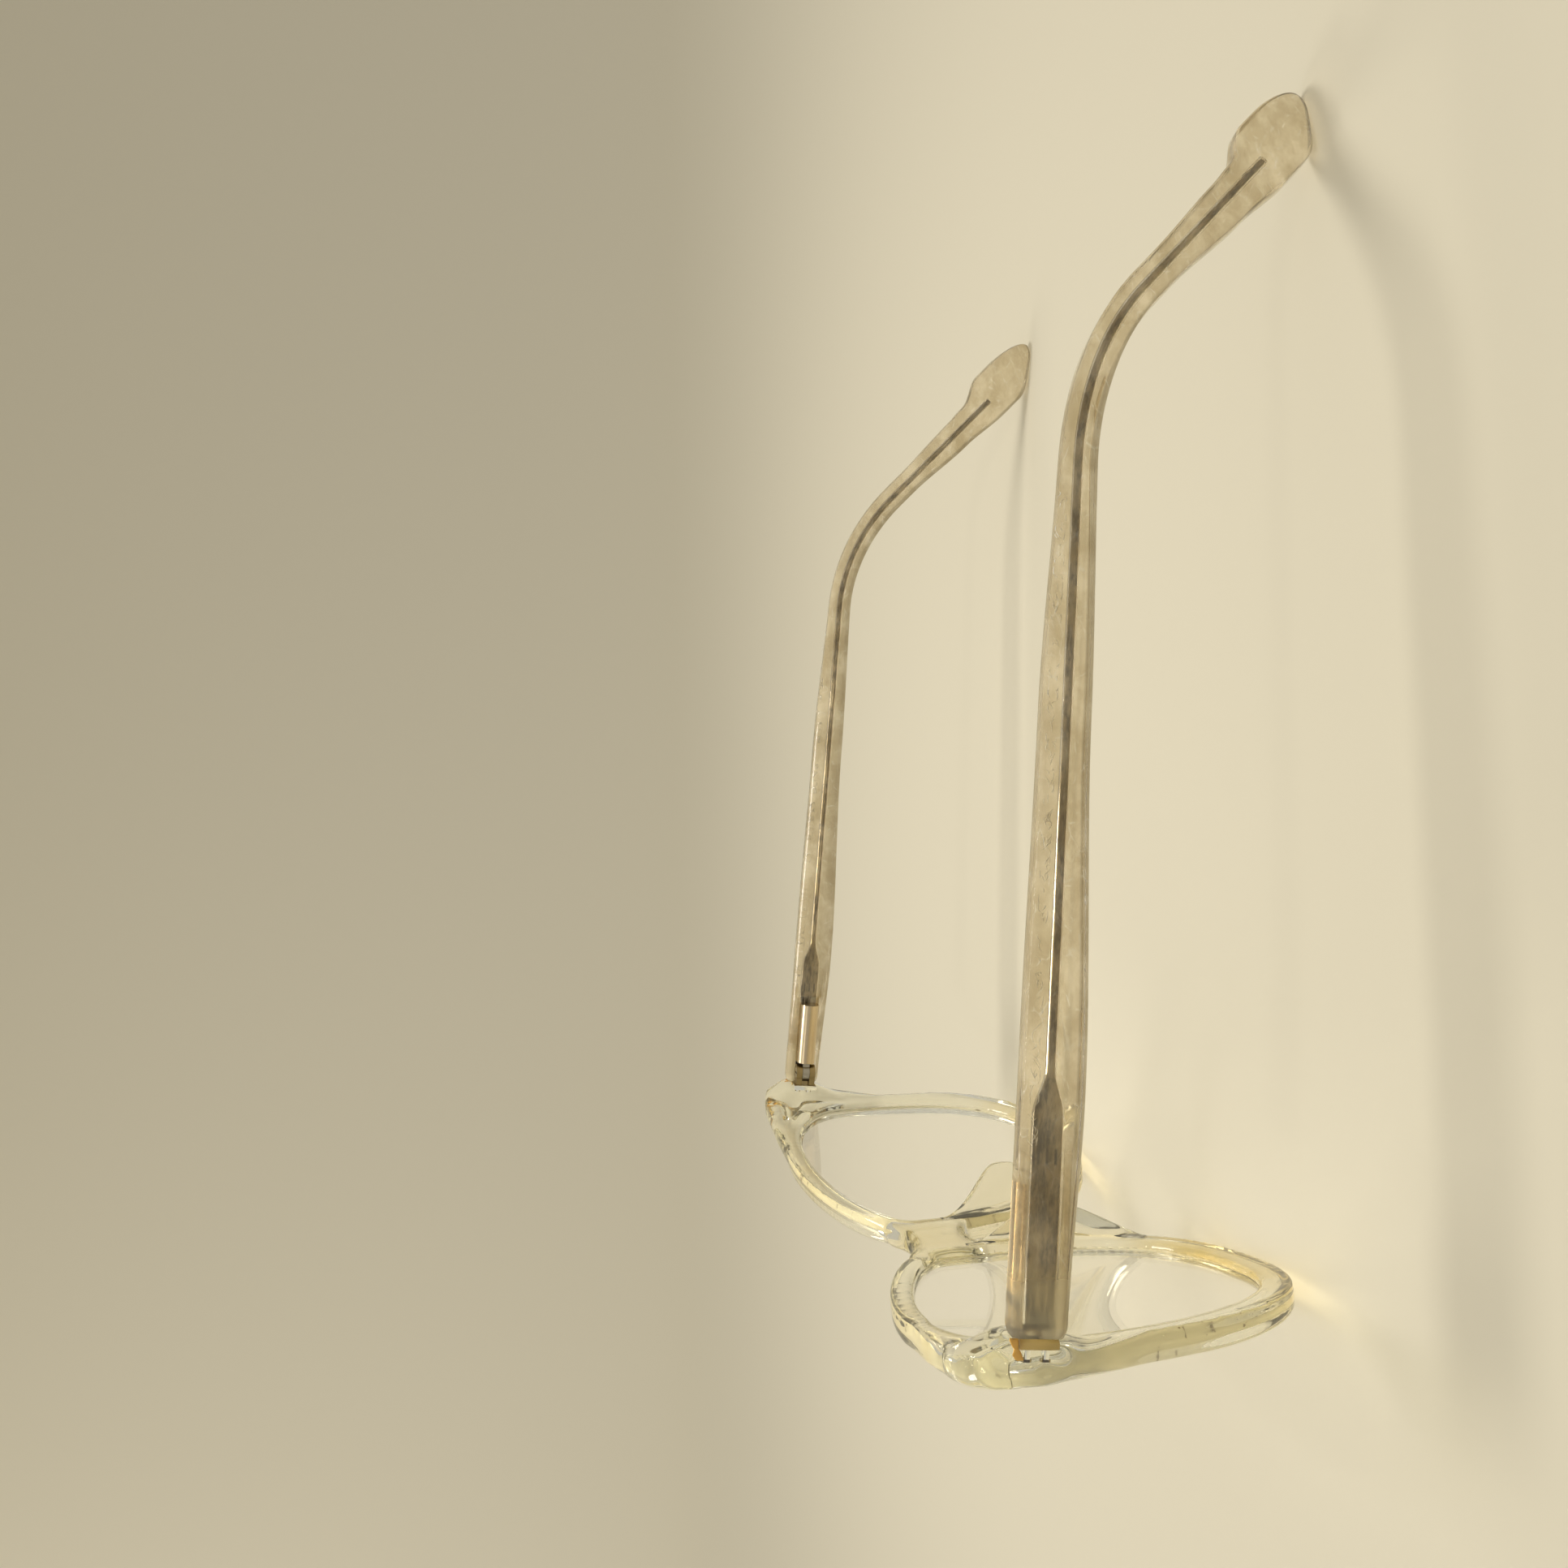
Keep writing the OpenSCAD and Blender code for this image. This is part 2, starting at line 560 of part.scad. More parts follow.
module hinge_screw() {
    color([0.8, 0.78, 0.74]) at_temple() at_axis() difference() {
        union() {
            translate([0, 0, -barrel_h / 2]) cylinder(r = screw_r, h = barrel_h - 0.1, $fn = 48);
            translate([0, 0, barrel_h / 2 - head_h]) cylinder(r = head_r, h = head_h, $fn = 48);
        }
        translate([-head_r - cut, -0.12, barrel_h / 2 - 0.22]) cube([2 * (head_r + cut), 0.24, 1]);
    }
}

// REST ON THE TABLE

// Carries a point of the temple's frame into the glasses' own level frame
function from_temple(p) = [
    span / 2 + p[0] * cos(splay) - p[1] * sin(splay),
    p[0] * sin(splay) + p[1] * cos(splay),
    p[2]];
function from_front(p) = [
    p[0],
    front_y + p[1] * cos(front_tilt) - p[2] * sin(front_tilt),
    p[1] * sin(front_tilt) + p[2] * cos(front_tilt)];
tip_points = [for (s = temple_stations, p = temple_ring(s)) from_temple(p)];
rim_points = [for (i = [0:ring_steps - 1], p = rim_ring(360 * i / ring_steps)) from_front(p)];
function drop(p, a) = p[2] * cos(a) - p[1] * sin(a);
function lowest(list, a) = let(low = min([for (p = list) drop(p, a)])) [for (p = list) if (drop(p, a) <= low) p][0];
// The table line touches a rim and a tip; a second look with the first answer settles it
function pitch_of(rim_foot, tip_foot) = atan((tip_foot[2] - rim_foot[2]) / (tip_foot[1] - rim_foot[1]));
first_pitch = pitch_of(lowest(rim_points, 6), lowest(tip_points, 6));
pitch = pitch_of(lowest(rim_points, first_pitch), lowest(tip_points, first_pitch));
table_z = drop(lowest(rim_points, pitch), pitch);
function run_back(p) = p[1] * cos(pitch) + p[2] * sin(pitch);
back_y = max([for (p = tip_points) run_back(p)]);
fore_y = min([for (p = rim_points) run_back(p)]);
middle_y = (back_y + fore_y) / 2;
function to_table(p) = [p[0], run_back(p) - middle_y, drop(p, pitch) - table_z];

// Stands the glasses on the table, with the origin under their middle
module seated() {
    translate([0, -middle_y, -table_z]) rotate([-pitch, 0, 0]) children();
}

echo(pitch = pitch, middle_y = middle_y, table_z = table_z);
echo(hinge_axis_at = to_table(from_temple([-axis_in, axis_back, 0])), axis_dir = [0, sin(pitch), cos(pitch)]);
echo(temple_dir = to_table(from_temple([0, 1, 0])) - to_table(from_temple([0, 0, 0])));

module left() {
    seated() children();
}
module right() {
    seated() mirror([1, 0, 0]) children();
}

front();
color([0.95, 0.96, 0.94, 0.3]) left() lens();  // lens_left
color([0.95, 0.96, 0.94, 0.3]) right() lens();  // lens_right
color([0.95, 0.93, 0.84, 0.5]) left() nose_pad();  // nose_pad_left
color([0.95, 0.93, 0.84, 0.5]) right() nose_pad();  // nose_pad_right
left() temple();  // temple_left
right() temple();  // temple_right
left() core_wire();  // core_wire_left
right() core_wire();  // core_wire_right
left() hinge_leaf();  // hinge_leaf_left
right() hinge_leaf();  // hinge_leaf_right
left() hinge_screw();  // hinge_screw_left
right() hinge_screw();  // hinge_screw_right
left() slider();  // slider_left
right() slider();  // slider_right
left() slider_nut();  // slider_nut_left
right() slider_nut();  // slider_nut_right
left() return_spring();  // return_spring_left
right() return_spring();  // return_spring_right
left() spring_box();  // spring_box_left
right() spring_box();  // spring_box_right
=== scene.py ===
"""Full-rim eyeglasses of clear champagne acetate with pearl temples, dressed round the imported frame."""
import json

import bmesh
import bpy
import numpy as np
from mathutils import Matrix, Vector


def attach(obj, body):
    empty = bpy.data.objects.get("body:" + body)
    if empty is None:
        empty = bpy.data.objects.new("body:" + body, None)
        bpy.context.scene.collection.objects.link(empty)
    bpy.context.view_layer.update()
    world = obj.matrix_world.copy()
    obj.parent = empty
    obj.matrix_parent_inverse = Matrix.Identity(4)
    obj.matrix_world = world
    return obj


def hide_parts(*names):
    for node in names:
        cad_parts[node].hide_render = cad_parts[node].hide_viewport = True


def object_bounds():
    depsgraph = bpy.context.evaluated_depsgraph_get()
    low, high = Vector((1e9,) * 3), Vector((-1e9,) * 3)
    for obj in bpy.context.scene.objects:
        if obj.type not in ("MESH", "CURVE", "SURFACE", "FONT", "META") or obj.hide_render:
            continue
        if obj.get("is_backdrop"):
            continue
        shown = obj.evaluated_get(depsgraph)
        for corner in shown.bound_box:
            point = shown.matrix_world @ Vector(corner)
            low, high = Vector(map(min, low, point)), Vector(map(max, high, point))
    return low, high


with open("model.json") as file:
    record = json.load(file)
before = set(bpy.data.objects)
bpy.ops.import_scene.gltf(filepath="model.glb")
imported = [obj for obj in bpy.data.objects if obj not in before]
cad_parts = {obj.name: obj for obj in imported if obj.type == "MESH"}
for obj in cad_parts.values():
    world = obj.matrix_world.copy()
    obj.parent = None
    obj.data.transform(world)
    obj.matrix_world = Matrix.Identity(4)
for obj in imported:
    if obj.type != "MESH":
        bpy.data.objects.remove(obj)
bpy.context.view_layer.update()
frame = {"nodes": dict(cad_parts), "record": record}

# THE WEARER'S FRAME
# Everything is measured from the middle of the line that joins the temples' front ends: +X to the wearer's
# left, +Y back along the temples, +Z up, in millimetres. On the table the glasses lean on their rims and
# tips, so this frame is pitched. The left hinge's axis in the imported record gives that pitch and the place.
SPAN = 134.2
SPLAY = np.radians(3.4)
AXIS_IN, AXIS_BACK = 2.4, 1.9
fold_left = next(j for j in frame["record"]["behaviour"]["joints"] if j["name"] == "fold_left")
PITCH = np.arctan2(fold_left["axis"][1], fold_left["axis"][2])
LEVEL = np.array(((1, 0, 0), (0, np.cos(PITCH), np.sin(PITCH)), (0, -np.sin(PITCH), np.cos(PITCH))))
AXIS_AT = np.array((SPAN / 2 - AXIS_IN * np.cos(SPLAY) - AXIS_BACK * np.sin(SPLAY),
                    AXIS_BACK * np.cos(SPLAY) - AXIS_IN * np.sin(SPLAY), 0))
SHIFT = np.array(fold_left["pos_m"]) * 1000 - LEVEL @ AXIS_AT


def on_table(points):
    """Points of the wearer's frame in millimetres, turned and moved to their place on the table in metres."""
    return (np.asarray(points) @ LEVEL.T + SHIFT) / 1000


# CAMERA
# It stands at the wearer's left, a little above the near temple, and is rolled so that down is to the right.
# Its place is in the wearer's frame, in millimetres, and its focal length is in pixels of the full frame.
CAMERA_AT = (210.17, 48.79, 51.09)
CAMERA_RIGHT = np.array((0.15775, 0.06853, -0.9851))
CAMERA_DOWN = np.array((-0.00598, -0.9975, -0.07035))
CAMERA_AHEAD = np.array((-0.98746, 0.01699, -0.15695))
SENSOR = 36.0
FOCAL_PX, FRAME_PX = 1898.9, 1932
NEAREST = 0.01
camera = bpy.data.objects.new("camera", bpy.data.cameras.new("camera"))
bpy.context.collection.objects.link(camera)
camera.data.sensor_width = SENSOR
camera.data.lens = SENSOR * FOCAL_PX / FRAME_PX
camera.data.clip_start = NEAREST
turn = Matrix((LEVEL @ CAMERA_RIGHT, LEVEL @ -CAMERA_DOWN, LEVEL @ -CAMERA_AHEAD)).transposed()
camera.matrix_world = Matrix.Translation(on_table(CAMERA_AT)) @ turn.to_4x4()
bpy.context.scene.camera = camera
bpy.context.scene.view_settings.view_transform = "Standard"

# STUDIO
# A cream sheet lies flat under the glasses and curls up well behind them. A soft lamp hangs almost overhead,
# a little to the far side, so that shadows fall towards the camera. Another lights the sheet's far end, and a
# small one on the near side gives the acetate its glints. Places and sizes are in metres.
SHEET_COLOUR = (0.70, 0.65, 0.515, 1)
SHEET_NEAR, SHEET_FLAT, SHEET_CURL, SHEET_TOP, SHEET_HALF = 1.6, -0.75, 0.7, 1.6, 1.8
LAMP_COLOUR, GLINT_COLOUR = (1.0, 0.96, 0.89), (1.0, 0.97, 0.9)
ROOM_COLOUR, ROOM_LEVEL = (1.0, 0.97, 0.9, 1), 0.53


def shader(name, values):
    """A fresh node material whose Principled shader takes the values: returned with its tree and shader."""
    material = bpy.data.materials.new(name)
    material.use_nodes = True
    body = material.node_tree.nodes["Principled BSDF"]
    for label, value in values.items():
        body.inputs[label].default_value = value
    return material, material.node_tree, body


def sheet_profile():
    """Flat run from the near edge, a quarter circle upwards, then a straight rise: distance and height."""
    curl = np.linspace(0, np.pi / 2, 24)
    x = [[SHEET_NEAR, 0.0], SHEET_FLAT - SHEET_CURL * np.sin(curl), [SHEET_FLAT - SHEET_CURL]]
    z = [[0, 0], SHEET_CURL * (1 - np.cos(curl)), [SHEET_TOP]]
    return np.concatenate(x), np.concatenate(z)


sheet_x, sheet_z = sheet_profile()
edge = np.stack([sheet_x, np.zeros_like(sheet_x), sheet_z], 1)
count = len(edge)
sheet_mesh = bpy.data.meshes.new("cream_sheet")
sheet_mesh.from_pydata(np.concatenate([edge - (0, SHEET_HALF, 0), edge + (0, SHEET_HALF, 0)]), [],
                       [(i, i + 1, count + i + 1, count + i) for i in range(count - 1)])
sheet_mesh.shade_smooth()
paper = {"Base Color": SHEET_COLOUR, "Roughness": 0.9, "Specular IOR Level": 0.1}
sheet_mesh.materials.append(shader("cream_paper", paper)[0])
sheet = bpy.data.objects.new("cream_sheet", sheet_mesh)
bpy.context.collection.objects.link(sheet)
sheet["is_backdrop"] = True


def lamp(name, place, aim, size, watts, colour):
    """A square soft lamp at a place, turned so that it faces the aim."""
    light = bpy.data.lights.new(name, "AREA")
    light.size, light.energy, light.color = size, watts, colour
    lamp_object = bpy.data.objects.new(name, light)
    bpy.context.collection.objects.link(lamp_object)
    lamp_object.location = place
    lamp_object.rotation_euler = (Vector(aim) - Vector(place)).to_track_quat("-Z", "Y").to_euler()


lamp("wide_lamp", (-0.07, -0.02, 0.42), (0.06, 0.0, 0.0), 0.13, 0.86, LAMP_COLOUR)
lamp("far_lamp", (-0.9, -1.7, 1.5), (-1.4, -0.5, 0.5), 0.6, 11.0, LAMP_COLOUR)
lamp("glint_lamp", (0.5, -0.3, 0.72), (0, -0.03, 0.03), 0.05, 0.3, GLINT_COLOUR)
room = bpy.data.worlds.new("room")
room.use_nodes = True
room.node_tree.nodes["Background"].inputs["Color"].default_value = ROOM_COLOUR
room.node_tree.nodes["Background"].inputs["Strength"].default_value = ROOM_LEVEL
bpy.context.scene.world = room

# FRONT
# One piece of clear champagne acetate, milled from sheet and heat-bent to a shallow sphere: two rims, a
# bridge and two end pieces, all with soft polished edges. A groove inside each rim holds the lens, and a
# recess in each end piece holds the hinge leaf.
LENS_X, LENS_Z = 35.0, -7.9
LENS_NOSE, LENS_TEMPLE = 26.5, 23.9
LENS_BROW, LENS_CHEEK = 10.1, 28.9
BROW_LEAN = 4.5
BROW_SQUARE, NOSE_SQUARE, CHEEK_SQUARE = 2.1, 1.75, 2.45
LENS_T = 1.5
RIM_W, BROW_W, CHEEK_W = 4.0, 3.0, 3.4
RIM_T = 3.6
RIM_EDGE, LENS_EDGE, BACK_EDGE = 1.1, 0.7, 0.55
GROOVE_DEPTH, LENS_GAP = 0.7, 0.08
BOW_RADIUS, BOW_LOW = 270.0, 18.0
TILT = np.radians(9.2)
LUG_BACK = 1.6
TEMPLE_T, TEMPLE_UP, TEMPLE_DOWN = 3.2, 3.05, 2.6
BUTT_GAP, BED_GAP = 0.1, 0.03
SIDES = ((1, "left"), (-1, "right"))
ROUND_STEPS = 320


def power(c, n):
    """The signed power that makes a superellipse of squareness n out of a sine or a cosine."""
    return np.sign(c) * np.abs(c) ** (2 / n)


def opening(e, t):
    """Lens opening moved out by e: a superellipse with its own half axis and squareness in each quarter,
    whose top leans towards the temple by the square of the sine."""
    c, s = np.cos(t), np.sin(t)
    n = np.where(s < 0, CHEEK_SQUARE, np.where(c > 0, BROW_SQUARE, NOSE_SQUARE))
    half_x = e + np.where(c > 0, LENS_TEMPLE, LENS_NOSE)
    half_z = e + np.where(s > 0, LENS_BROW, LENS_CHEEK)
    x = LENS_X + half_x * power(c, n) + BROW_LEAN * np.maximum(s, 0) ** 2
    return x, LENS_Z + half_z * power(s, n)


def bow(x, z):
    """How far the face of the front lies behind its foremost point: the sag of a sphere."""
    return BOW_RADIUS - np.sqrt(BOW_RADIUS ** 2 - x ** 2 - (z + BOW_LOW) ** 2)


FRONT_Y = -(bow(SPAN / 2, 0) + RIM_T) * np.cos(TILT) - LUG_BACK


def on_front(x, z, depth):
    """Point behind the bowed face by its depth, leaned back by the tilt about the front's own level line."""
    y = bow(x, z) + depth
    back = FRONT_Y + y * np.cos(TILT) - z * np.sin(TILT)
    return np.stack(np.broadcast_arrays(x, back, y * np.sin(TILT) + z * np.cos(TILT)), -1)


def soft_box(low_a, high_a, low_b, high_b, radii, steps=7, flat=1.0):
    """Rounded rectangle as two arrays a and b: a quarter superellipse of its own radius at each corner, in
    the order (high a, low b), (high a, high b), (low a, high b), (low a, low b). It is round for flat 1 and a
    plain chamfer for flat 2. Sides may be arrays down the first axis."""
    a, b = [], []
    for i, radius in enumerate(radii):
        angle = np.linspace(-np.pi / 2, 0, steps) + i * np.pi / 2
        middle_a = high_a - radius if i < 2 else low_a + radius
        middle_b = high_b - radius if i in (1, 2) else low_b + radius
        a.append(middle_a + radius * power(np.cos(angle), 2 / flat))
        b.append(middle_b + radius * power(np.sin(angle), 2 / flat))
    same = np.broadcast_arrays(*a, *b)
    return np.concatenate(same[:4], -1), np.concatenate(same[4:], -1)


def skin(name, rings, closed=False):
    """A closed skin through equal rings of points: a quad between each two neighbours, and a flat cap on
    either end unless the path closes on itself. Its normals are then turned outwards."""
    n, m = rings.shape[:2]
    index = np.arange(n * m).reshape(n, m)
    here = index if closed else index[:-1]
    ahead = np.roll(index, -1, 0)[:len(here)]
    quads = np.stack([here, np.roll(here, -1, 1), np.roll(ahead, -1, 1), ahead], -1)
    caps = [] if closed else [index[0, ::-1].tolist(), index[-1].tolist()]
    mesh = bpy.data.meshes.new(name)
    mesh.from_pydata(rings.reshape(-1, 3), [], quads.reshape(-1, 4).tolist() + caps)
    return outwards(name, mesh)


def outwards(name, mesh):
    """An object of the mesh, with every face turned outwards and shaded smooth."""
    work = bmesh.new()
    work.from_mesh(mesh)
    bmesh.ops.recalc_face_normals(work, faces=work.faces)
    work.to_mesh(mesh)
    work.free()
    mesh.shade_smooth()
    piece = bpy.data.objects.new(name, mesh)
    bpy.context.collection.objects.link(piece)
    return piece


def shrunk_round(name, points):
    """The smallest convex skin round a cloud of points."""
    work = bmesh.new()
    for p in np.asarray(points).reshape(-1, 3):
        work.verts.new(p)
    bmesh.ops.convex_hull(work, input=work.verts)
    loose = [v for v in work.verts if not v.link_faces]
    bmesh.ops.delete(work, geom=loose, context="VERTS")
    mesh = bpy.data.meshes.new(name)
    work.to_mesh(mesh)
    work.free()
    return outwards(name, mesh)


def joined(name, pieces):
    """One object that holds the meshes of all the pieces, which are then dropped."""
    work = bmesh.new()
    for piece in pieces:
        work.from_mesh(piece.data)
        bpy.data.objects.remove(piece)
    mesh = bpy.data.meshes.new(name)
    work.to_mesh(mesh)
    work.free()
    return outwards(name, mesh)


def settled(piece, cutters=()):
    """The piece with its modifiers and cuts worked into its mesh. The cutters are dropped."""
    for i, cutter in enumerate(cutters):
        cut = piece.modifiers.new("cut_%d" % i, "BOOLEAN")
        cut.operation, cut.solver, cut.object = "DIFFERENCE", "MANIFOLD", cutter
    bpy.context.view_layer.update()
    mesh = bpy.data.meshes.new_from_object(piece.evaluated_get(bpy.context.evaluated_depsgraph_get()))
    piece.modifiers.clear()
    piece.data = mesh
    for cutter in cutters:
        bpy.data.objects.remove(cutter)
    return piece


def points_of(piece):
    """The places of the piece's points, one row each."""
    points = np.empty(len(piece.data.vertices) * 3)
    piece.data.vertices.foreach_get("co", points)
    return points.reshape(-1, 3)


def stood(piece):
    """The piece's mesh, carried from the wearer's frame in millimetres to the table in metres."""
    piece.data.vertices.foreach_set("co", on_table(points_of(piece)).ravel())
    piece.data.update()
    return piece


def rubbed(piece, share, passes):
    """The piece's skin, polished: each pass moves a point by its share of half the way to the mean of the
    points next to it."""
    points = points_of(piece)
    ends = np.empty(len(piece.data.edges) * 2, int)
    piece.data.edges.foreach_get("vertices", ends)
    here, there = np.concatenate([ends[::2], ends[1::2]]), np.concatenate([ends[1::2], ends[::2]])
    count = np.bincount(here, minlength=len(points))[:, None]
    for _ in range(passes):
        total = np.stack([np.bincount(here, points[there, axis], len(points)) for axis in range(3)], 1)
        points += 0.5 * share[:, None] * (total / count - points)
    piece.data.vertices.foreach_set("co", points.ravel())
    piece.data.update()


def mirrored(rings, side):
    """The same rings on the wearer's left for side 1, and on the right for side -1."""
    return rings * (side, 1, 1)


def rim_width(t):
    """Width of the rim: from the sides to the brow's or the cheek's width by the square of the sine."""
    return RIM_W + (np.where(np.sin(t) > 0, BROW_W, CHEEK_W) - RIM_W) * np.sin(t) ** 2


def rim_rings():
    """A rounded rectangle, from the opening out to the rim's width and from face to back, carried round."""
    t = np.linspace(0, 2 * np.pi, ROUND_STEPS, endpoint=False)[:, None]
    out, depth = soft_box(0, rim_width(t), 0, RIM_T, (RIM_EDGE, BACK_EDGE, BACK_EDGE, LENS_EDGE))
    return on_front(*opening(out, t), depth)


BRIDGE_H, BRIDGE_Z, BRIDGE_RISE, BRIDGE_DROP, BRIDGE_SHORT = 8.2, -5.2, 2.4, 2.6, 0.6
BRIDGE_RUN = LENS_X - LENS_NOSE - GROOVE_DEPTH - BRIDGE_SHORT


def bridge_rings():
    """A rounded rectangle carried across the nose, whose upper and lower edges spread by parabolas."""
    x = np.linspace(-BRIDGE_RUN, BRIDGE_RUN, 31)[:, None]
    top = BRIDGE_Z + BRIDGE_RISE * (x / BRIDGE_RUN) ** 2
    low = BRIDGE_Z - BRIDGE_H - BRIDGE_DROP * (x / BRIDGE_RUN) ** 2
    z, depth = soft_box(low, top, 0, RIM_T, (RIM_EDGE, BACK_EDGE, BACK_EDGE, RIM_EDGE))
    return on_front(x, z, depth)


def on_temple(p):
    """From a temple's frame (out, along, up), which starts at its front end, to the wearer's frame."""
    p = np.asarray(p, float)
    x, y = p[..., 0], p[..., 1]
    return np.stack([SPAN / 2 + x * np.cos(SPLAY) - y * np.sin(SPLAY),
                     x * np.sin(SPLAY) + y * np.cos(SPLAY), p[..., 2]], -1)


def ease(x, a, b):
    """Soft step from 0 at a to 1 at b: three t squared less two t cubed."""
    t = np.clip((x - a) / (b - a), 0, 1)
    return t * t * (3 - 2 * t)


LEAF_IN, LEAF_OUT, LEAF_H, LEAF_T = 1.6, 2.6, 3.9, 1.0
LUG_WALL, LUG_BITE, LUG_PAST = 0.6, 0.45, 0.4
LUG_IN = AXIS_IN + LEAF_IN + LUG_WALL
LUG_FROM = LENS_X + LENS_TEMPLE + RIM_W * LUG_BITE
LUG_TO = SPAN / 2 + LUG_PAST
LUG_H, LUG_END_H, LUG_RISE, LUG_FALL = 14.5, 10.0, 2.6, 1.5
LUG_SOFT, LUG_ROUND = 0.6, 1.0
BUTT_T, BROW_H = 0.4, 1.2
# Each of the brow's slabs: its place across, its top, the softness of its front edges, and its extra height
BROW = ((42.0, 5.1, 0.6, 0), (50.0, 5.5, 0.9, 0.6), (LUG_FROM + 1, TEMPLE_UP + LUG_RISE, RIM_EDGE, 2.2))
HEEL_LOW, HEEL_TOP, HEEL_IN, HEEL_OUT = -20.5, -2.0, 61.6, 68.3
HEEL_BITE, HEEL_CURVE, HEEL_ROUND, HEEL_EDGE = 0.5, 1.1, 1.0, 0.3


def lug_slab(x, low, top, soft):
    """Outline of an upright slab of the end piece at x, whose two front edges are quarter circles."""
    a = np.linspace(0, np.pi / 2, 5)
    inset = soft * (1 - np.cos(a))
    z = np.concatenate([[low, top], low + inset, top - inset])
    depth = np.concatenate([[RIM_T, RIM_T], soft * (1 - np.sin(a)), soft * (1 - np.sin(a))])
    return on_front(np.full(len(z), x), z, depth)


def heel_rings():
    """Level slices under the end piece, from face to back, whose outer edge runs in to the rim by a power of
    a soft step."""
    z = np.linspace(HEEL_LOW, HEEL_TOP, 24)[:, None]
    k = ease(z, HEEL_LOW, HEEL_TOP)
    out = HEEL_IN + (HEEL_OUT - HEEL_IN) * k ** HEEL_CURVE
    radii = (HEEL_ROUND + LUG_ROUND * k, BACK_EDGE, HEEL_EDGE, HEEL_EDGE)
    x, depth = soft_box(LUG_FROM - HEEL_BITE, out, 0, RIM_T, radii)
    return on_front(x, z, depth)


def end_piece(side):
    """Two convex blocks, one that turns from the rim back to the temple's front end and one that fills the
    brow, and the foot that runs out down the rim."""
    k = np.linspace(0, 1, 13)
    top = TEMPLE_UP + LUG_RISE - LUG_FALL * k * k
    height = LUG_H + (LUG_END_H - LUG_H) * ease(k, 0, 1)
    soft = RIM_EDGE + LUG_ROUND * ease(k, 0.5, 1)
    x = LUG_FROM + (LUG_TO - LUG_FROM) * k
    slabs = [lug_slab(*slab) for slab in zip(x, top - height, top, soft)]
    a, b = soft_box(-LUG_IN, TEMPLE_T / 2, -TEMPLE_DOWN, TEMPLE_UP, (LUG_SOFT,) * 4)
    butt = [on_temple(np.stack([a, np.full_like(a, y), b], -1)) for y in (-BUTT_GAP, -BUTT_GAP - BUTT_T)]
    lug = np.concatenate([np.concatenate(slabs), np.concatenate(butt)])
    brow = np.concatenate([lug_slab(x, top - BROW_H - drop, top, soft) for x, top, soft, drop in BROW])
    return [shrunk_round("lug", mirrored(lug, side)), shrunk_round("brow", mirrored(brow, side)),
            skin("heel", mirrored(heel_rings(), side))]


GROOVE_W = LENS_T + 2 * LENS_GAP
GROOVE_Y = (RIM_T - GROOVE_W) / 2
GROOVE_OPEN = 0.9


def groove_rings():
    """A square section that runs from inside the opening to the groove's floor, carried round."""
    t = np.linspace(0, 2 * np.pi, ROUND_STEPS, endpoint=False)[:, None]
    out = np.array((-GROOVE_OPEN, GROOVE_DEPTH, GROOVE_DEPTH, -GROOVE_OPEN))
    depth = np.array((0, 0, GROOVE_W, GROOVE_W)) + GROOVE_Y
    return on_front(*opening(out, t), depth)


PRONG_W, PRONG_Z, PRONG_X, PRONG_L = 0.5, 0.95, -0.9, 1.3
BED_OVER, PRONG_OVER = 0.5, 0.1


def block(name, low, high, side):
    """A box of the temple's frame between two corners."""
    low, high = np.array(low), np.array(high)
    u = np.array(((0, 0), (1, 0), (1, 1), (0, 1)))
    out, up = low[0] + (high[0] - low[0]) * u[:, 0], low[2] + (high[2] - low[2]) * u[:, 1]
    rings = [np.stack([out, np.full(4, y), up], -1) for y in (low[1], high[1])]
    return skin(name, mirrored(on_temple(np.stack(rings)), side))


def leaf_beds(side):
    """The recess that the hinge leaf's plate and its two prongs are bedded in."""
    g = BED_GAP
    back = -BUTT_GAP - LEAF_T
    low = (-AXIS_IN - LEAF_IN - g, back - g, -LEAF_H / 2 - g)
    high = (LEAF_OUT - AXIS_IN + g, BED_OVER, LEAF_H / 2 + g)
    beds = [block("bed", low, high, side)]
    for z in (-PRONG_Z, PRONG_Z):
        low = (PRONG_X - PRONG_W - g, back - PRONG_L - g, z - PRONG_W / 2 - g)
        high = (PRONG_X + PRONG_W + g, back + PRONG_OVER, z + PRONG_W / 2 + g)
        beds.append(block("bed", low, high, side))
    return beds


# Where the front is rubbed softest: a soft step's ends, outwards from the nose and upwards, in millimetres
NOSE_OUT, NOSE_UP = (7, 11), (-21, -17)
BROW_OUT, BROW_UP, BROW_STOP = (39, 44), (0.5, 3), (63, 66)
HEEL_ACROSS, HEEL_UP, HEEL_STOP = (58, 61.5), (-24, -18), (-3, -1)
VOXEL = 0.27
SOFT_PASSES, POLISH_PASSES = 45, 8
pieces = [skin("bridge", bridge_rings())]
cutters = []
for side, _ in SIDES:
    pieces.append(skin("rim", mirrored(rim_rings(), side), closed=True))
    pieces += end_piece(side)
    cutters.append(skin("groove", mirrored(groove_rings(), side), closed=True))
    cutters += leaf_beds(side)
front = joined("crystal_front", pieces)
melt = front.modifiers.new("melt", "REMESH")
melt.mode, melt.voxel_size = "VOXEL", VOXEL
settled(front)
points = points_of(front)
across, up = np.abs(points[:, 0]), points[:, 2]
by_nose = (1 - ease(across, *NOSE_OUT)) * ease(up, *NOSE_UP)
by_brow = ease(across, *BROW_OUT) * ease(up, *BROW_UP) * (1 - ease(across, *BROW_STOP))
by_heel = ease(across, *HEEL_ACROSS) * ease(up, *HEEL_UP) * (1 - ease(up, *HEEL_STOP))
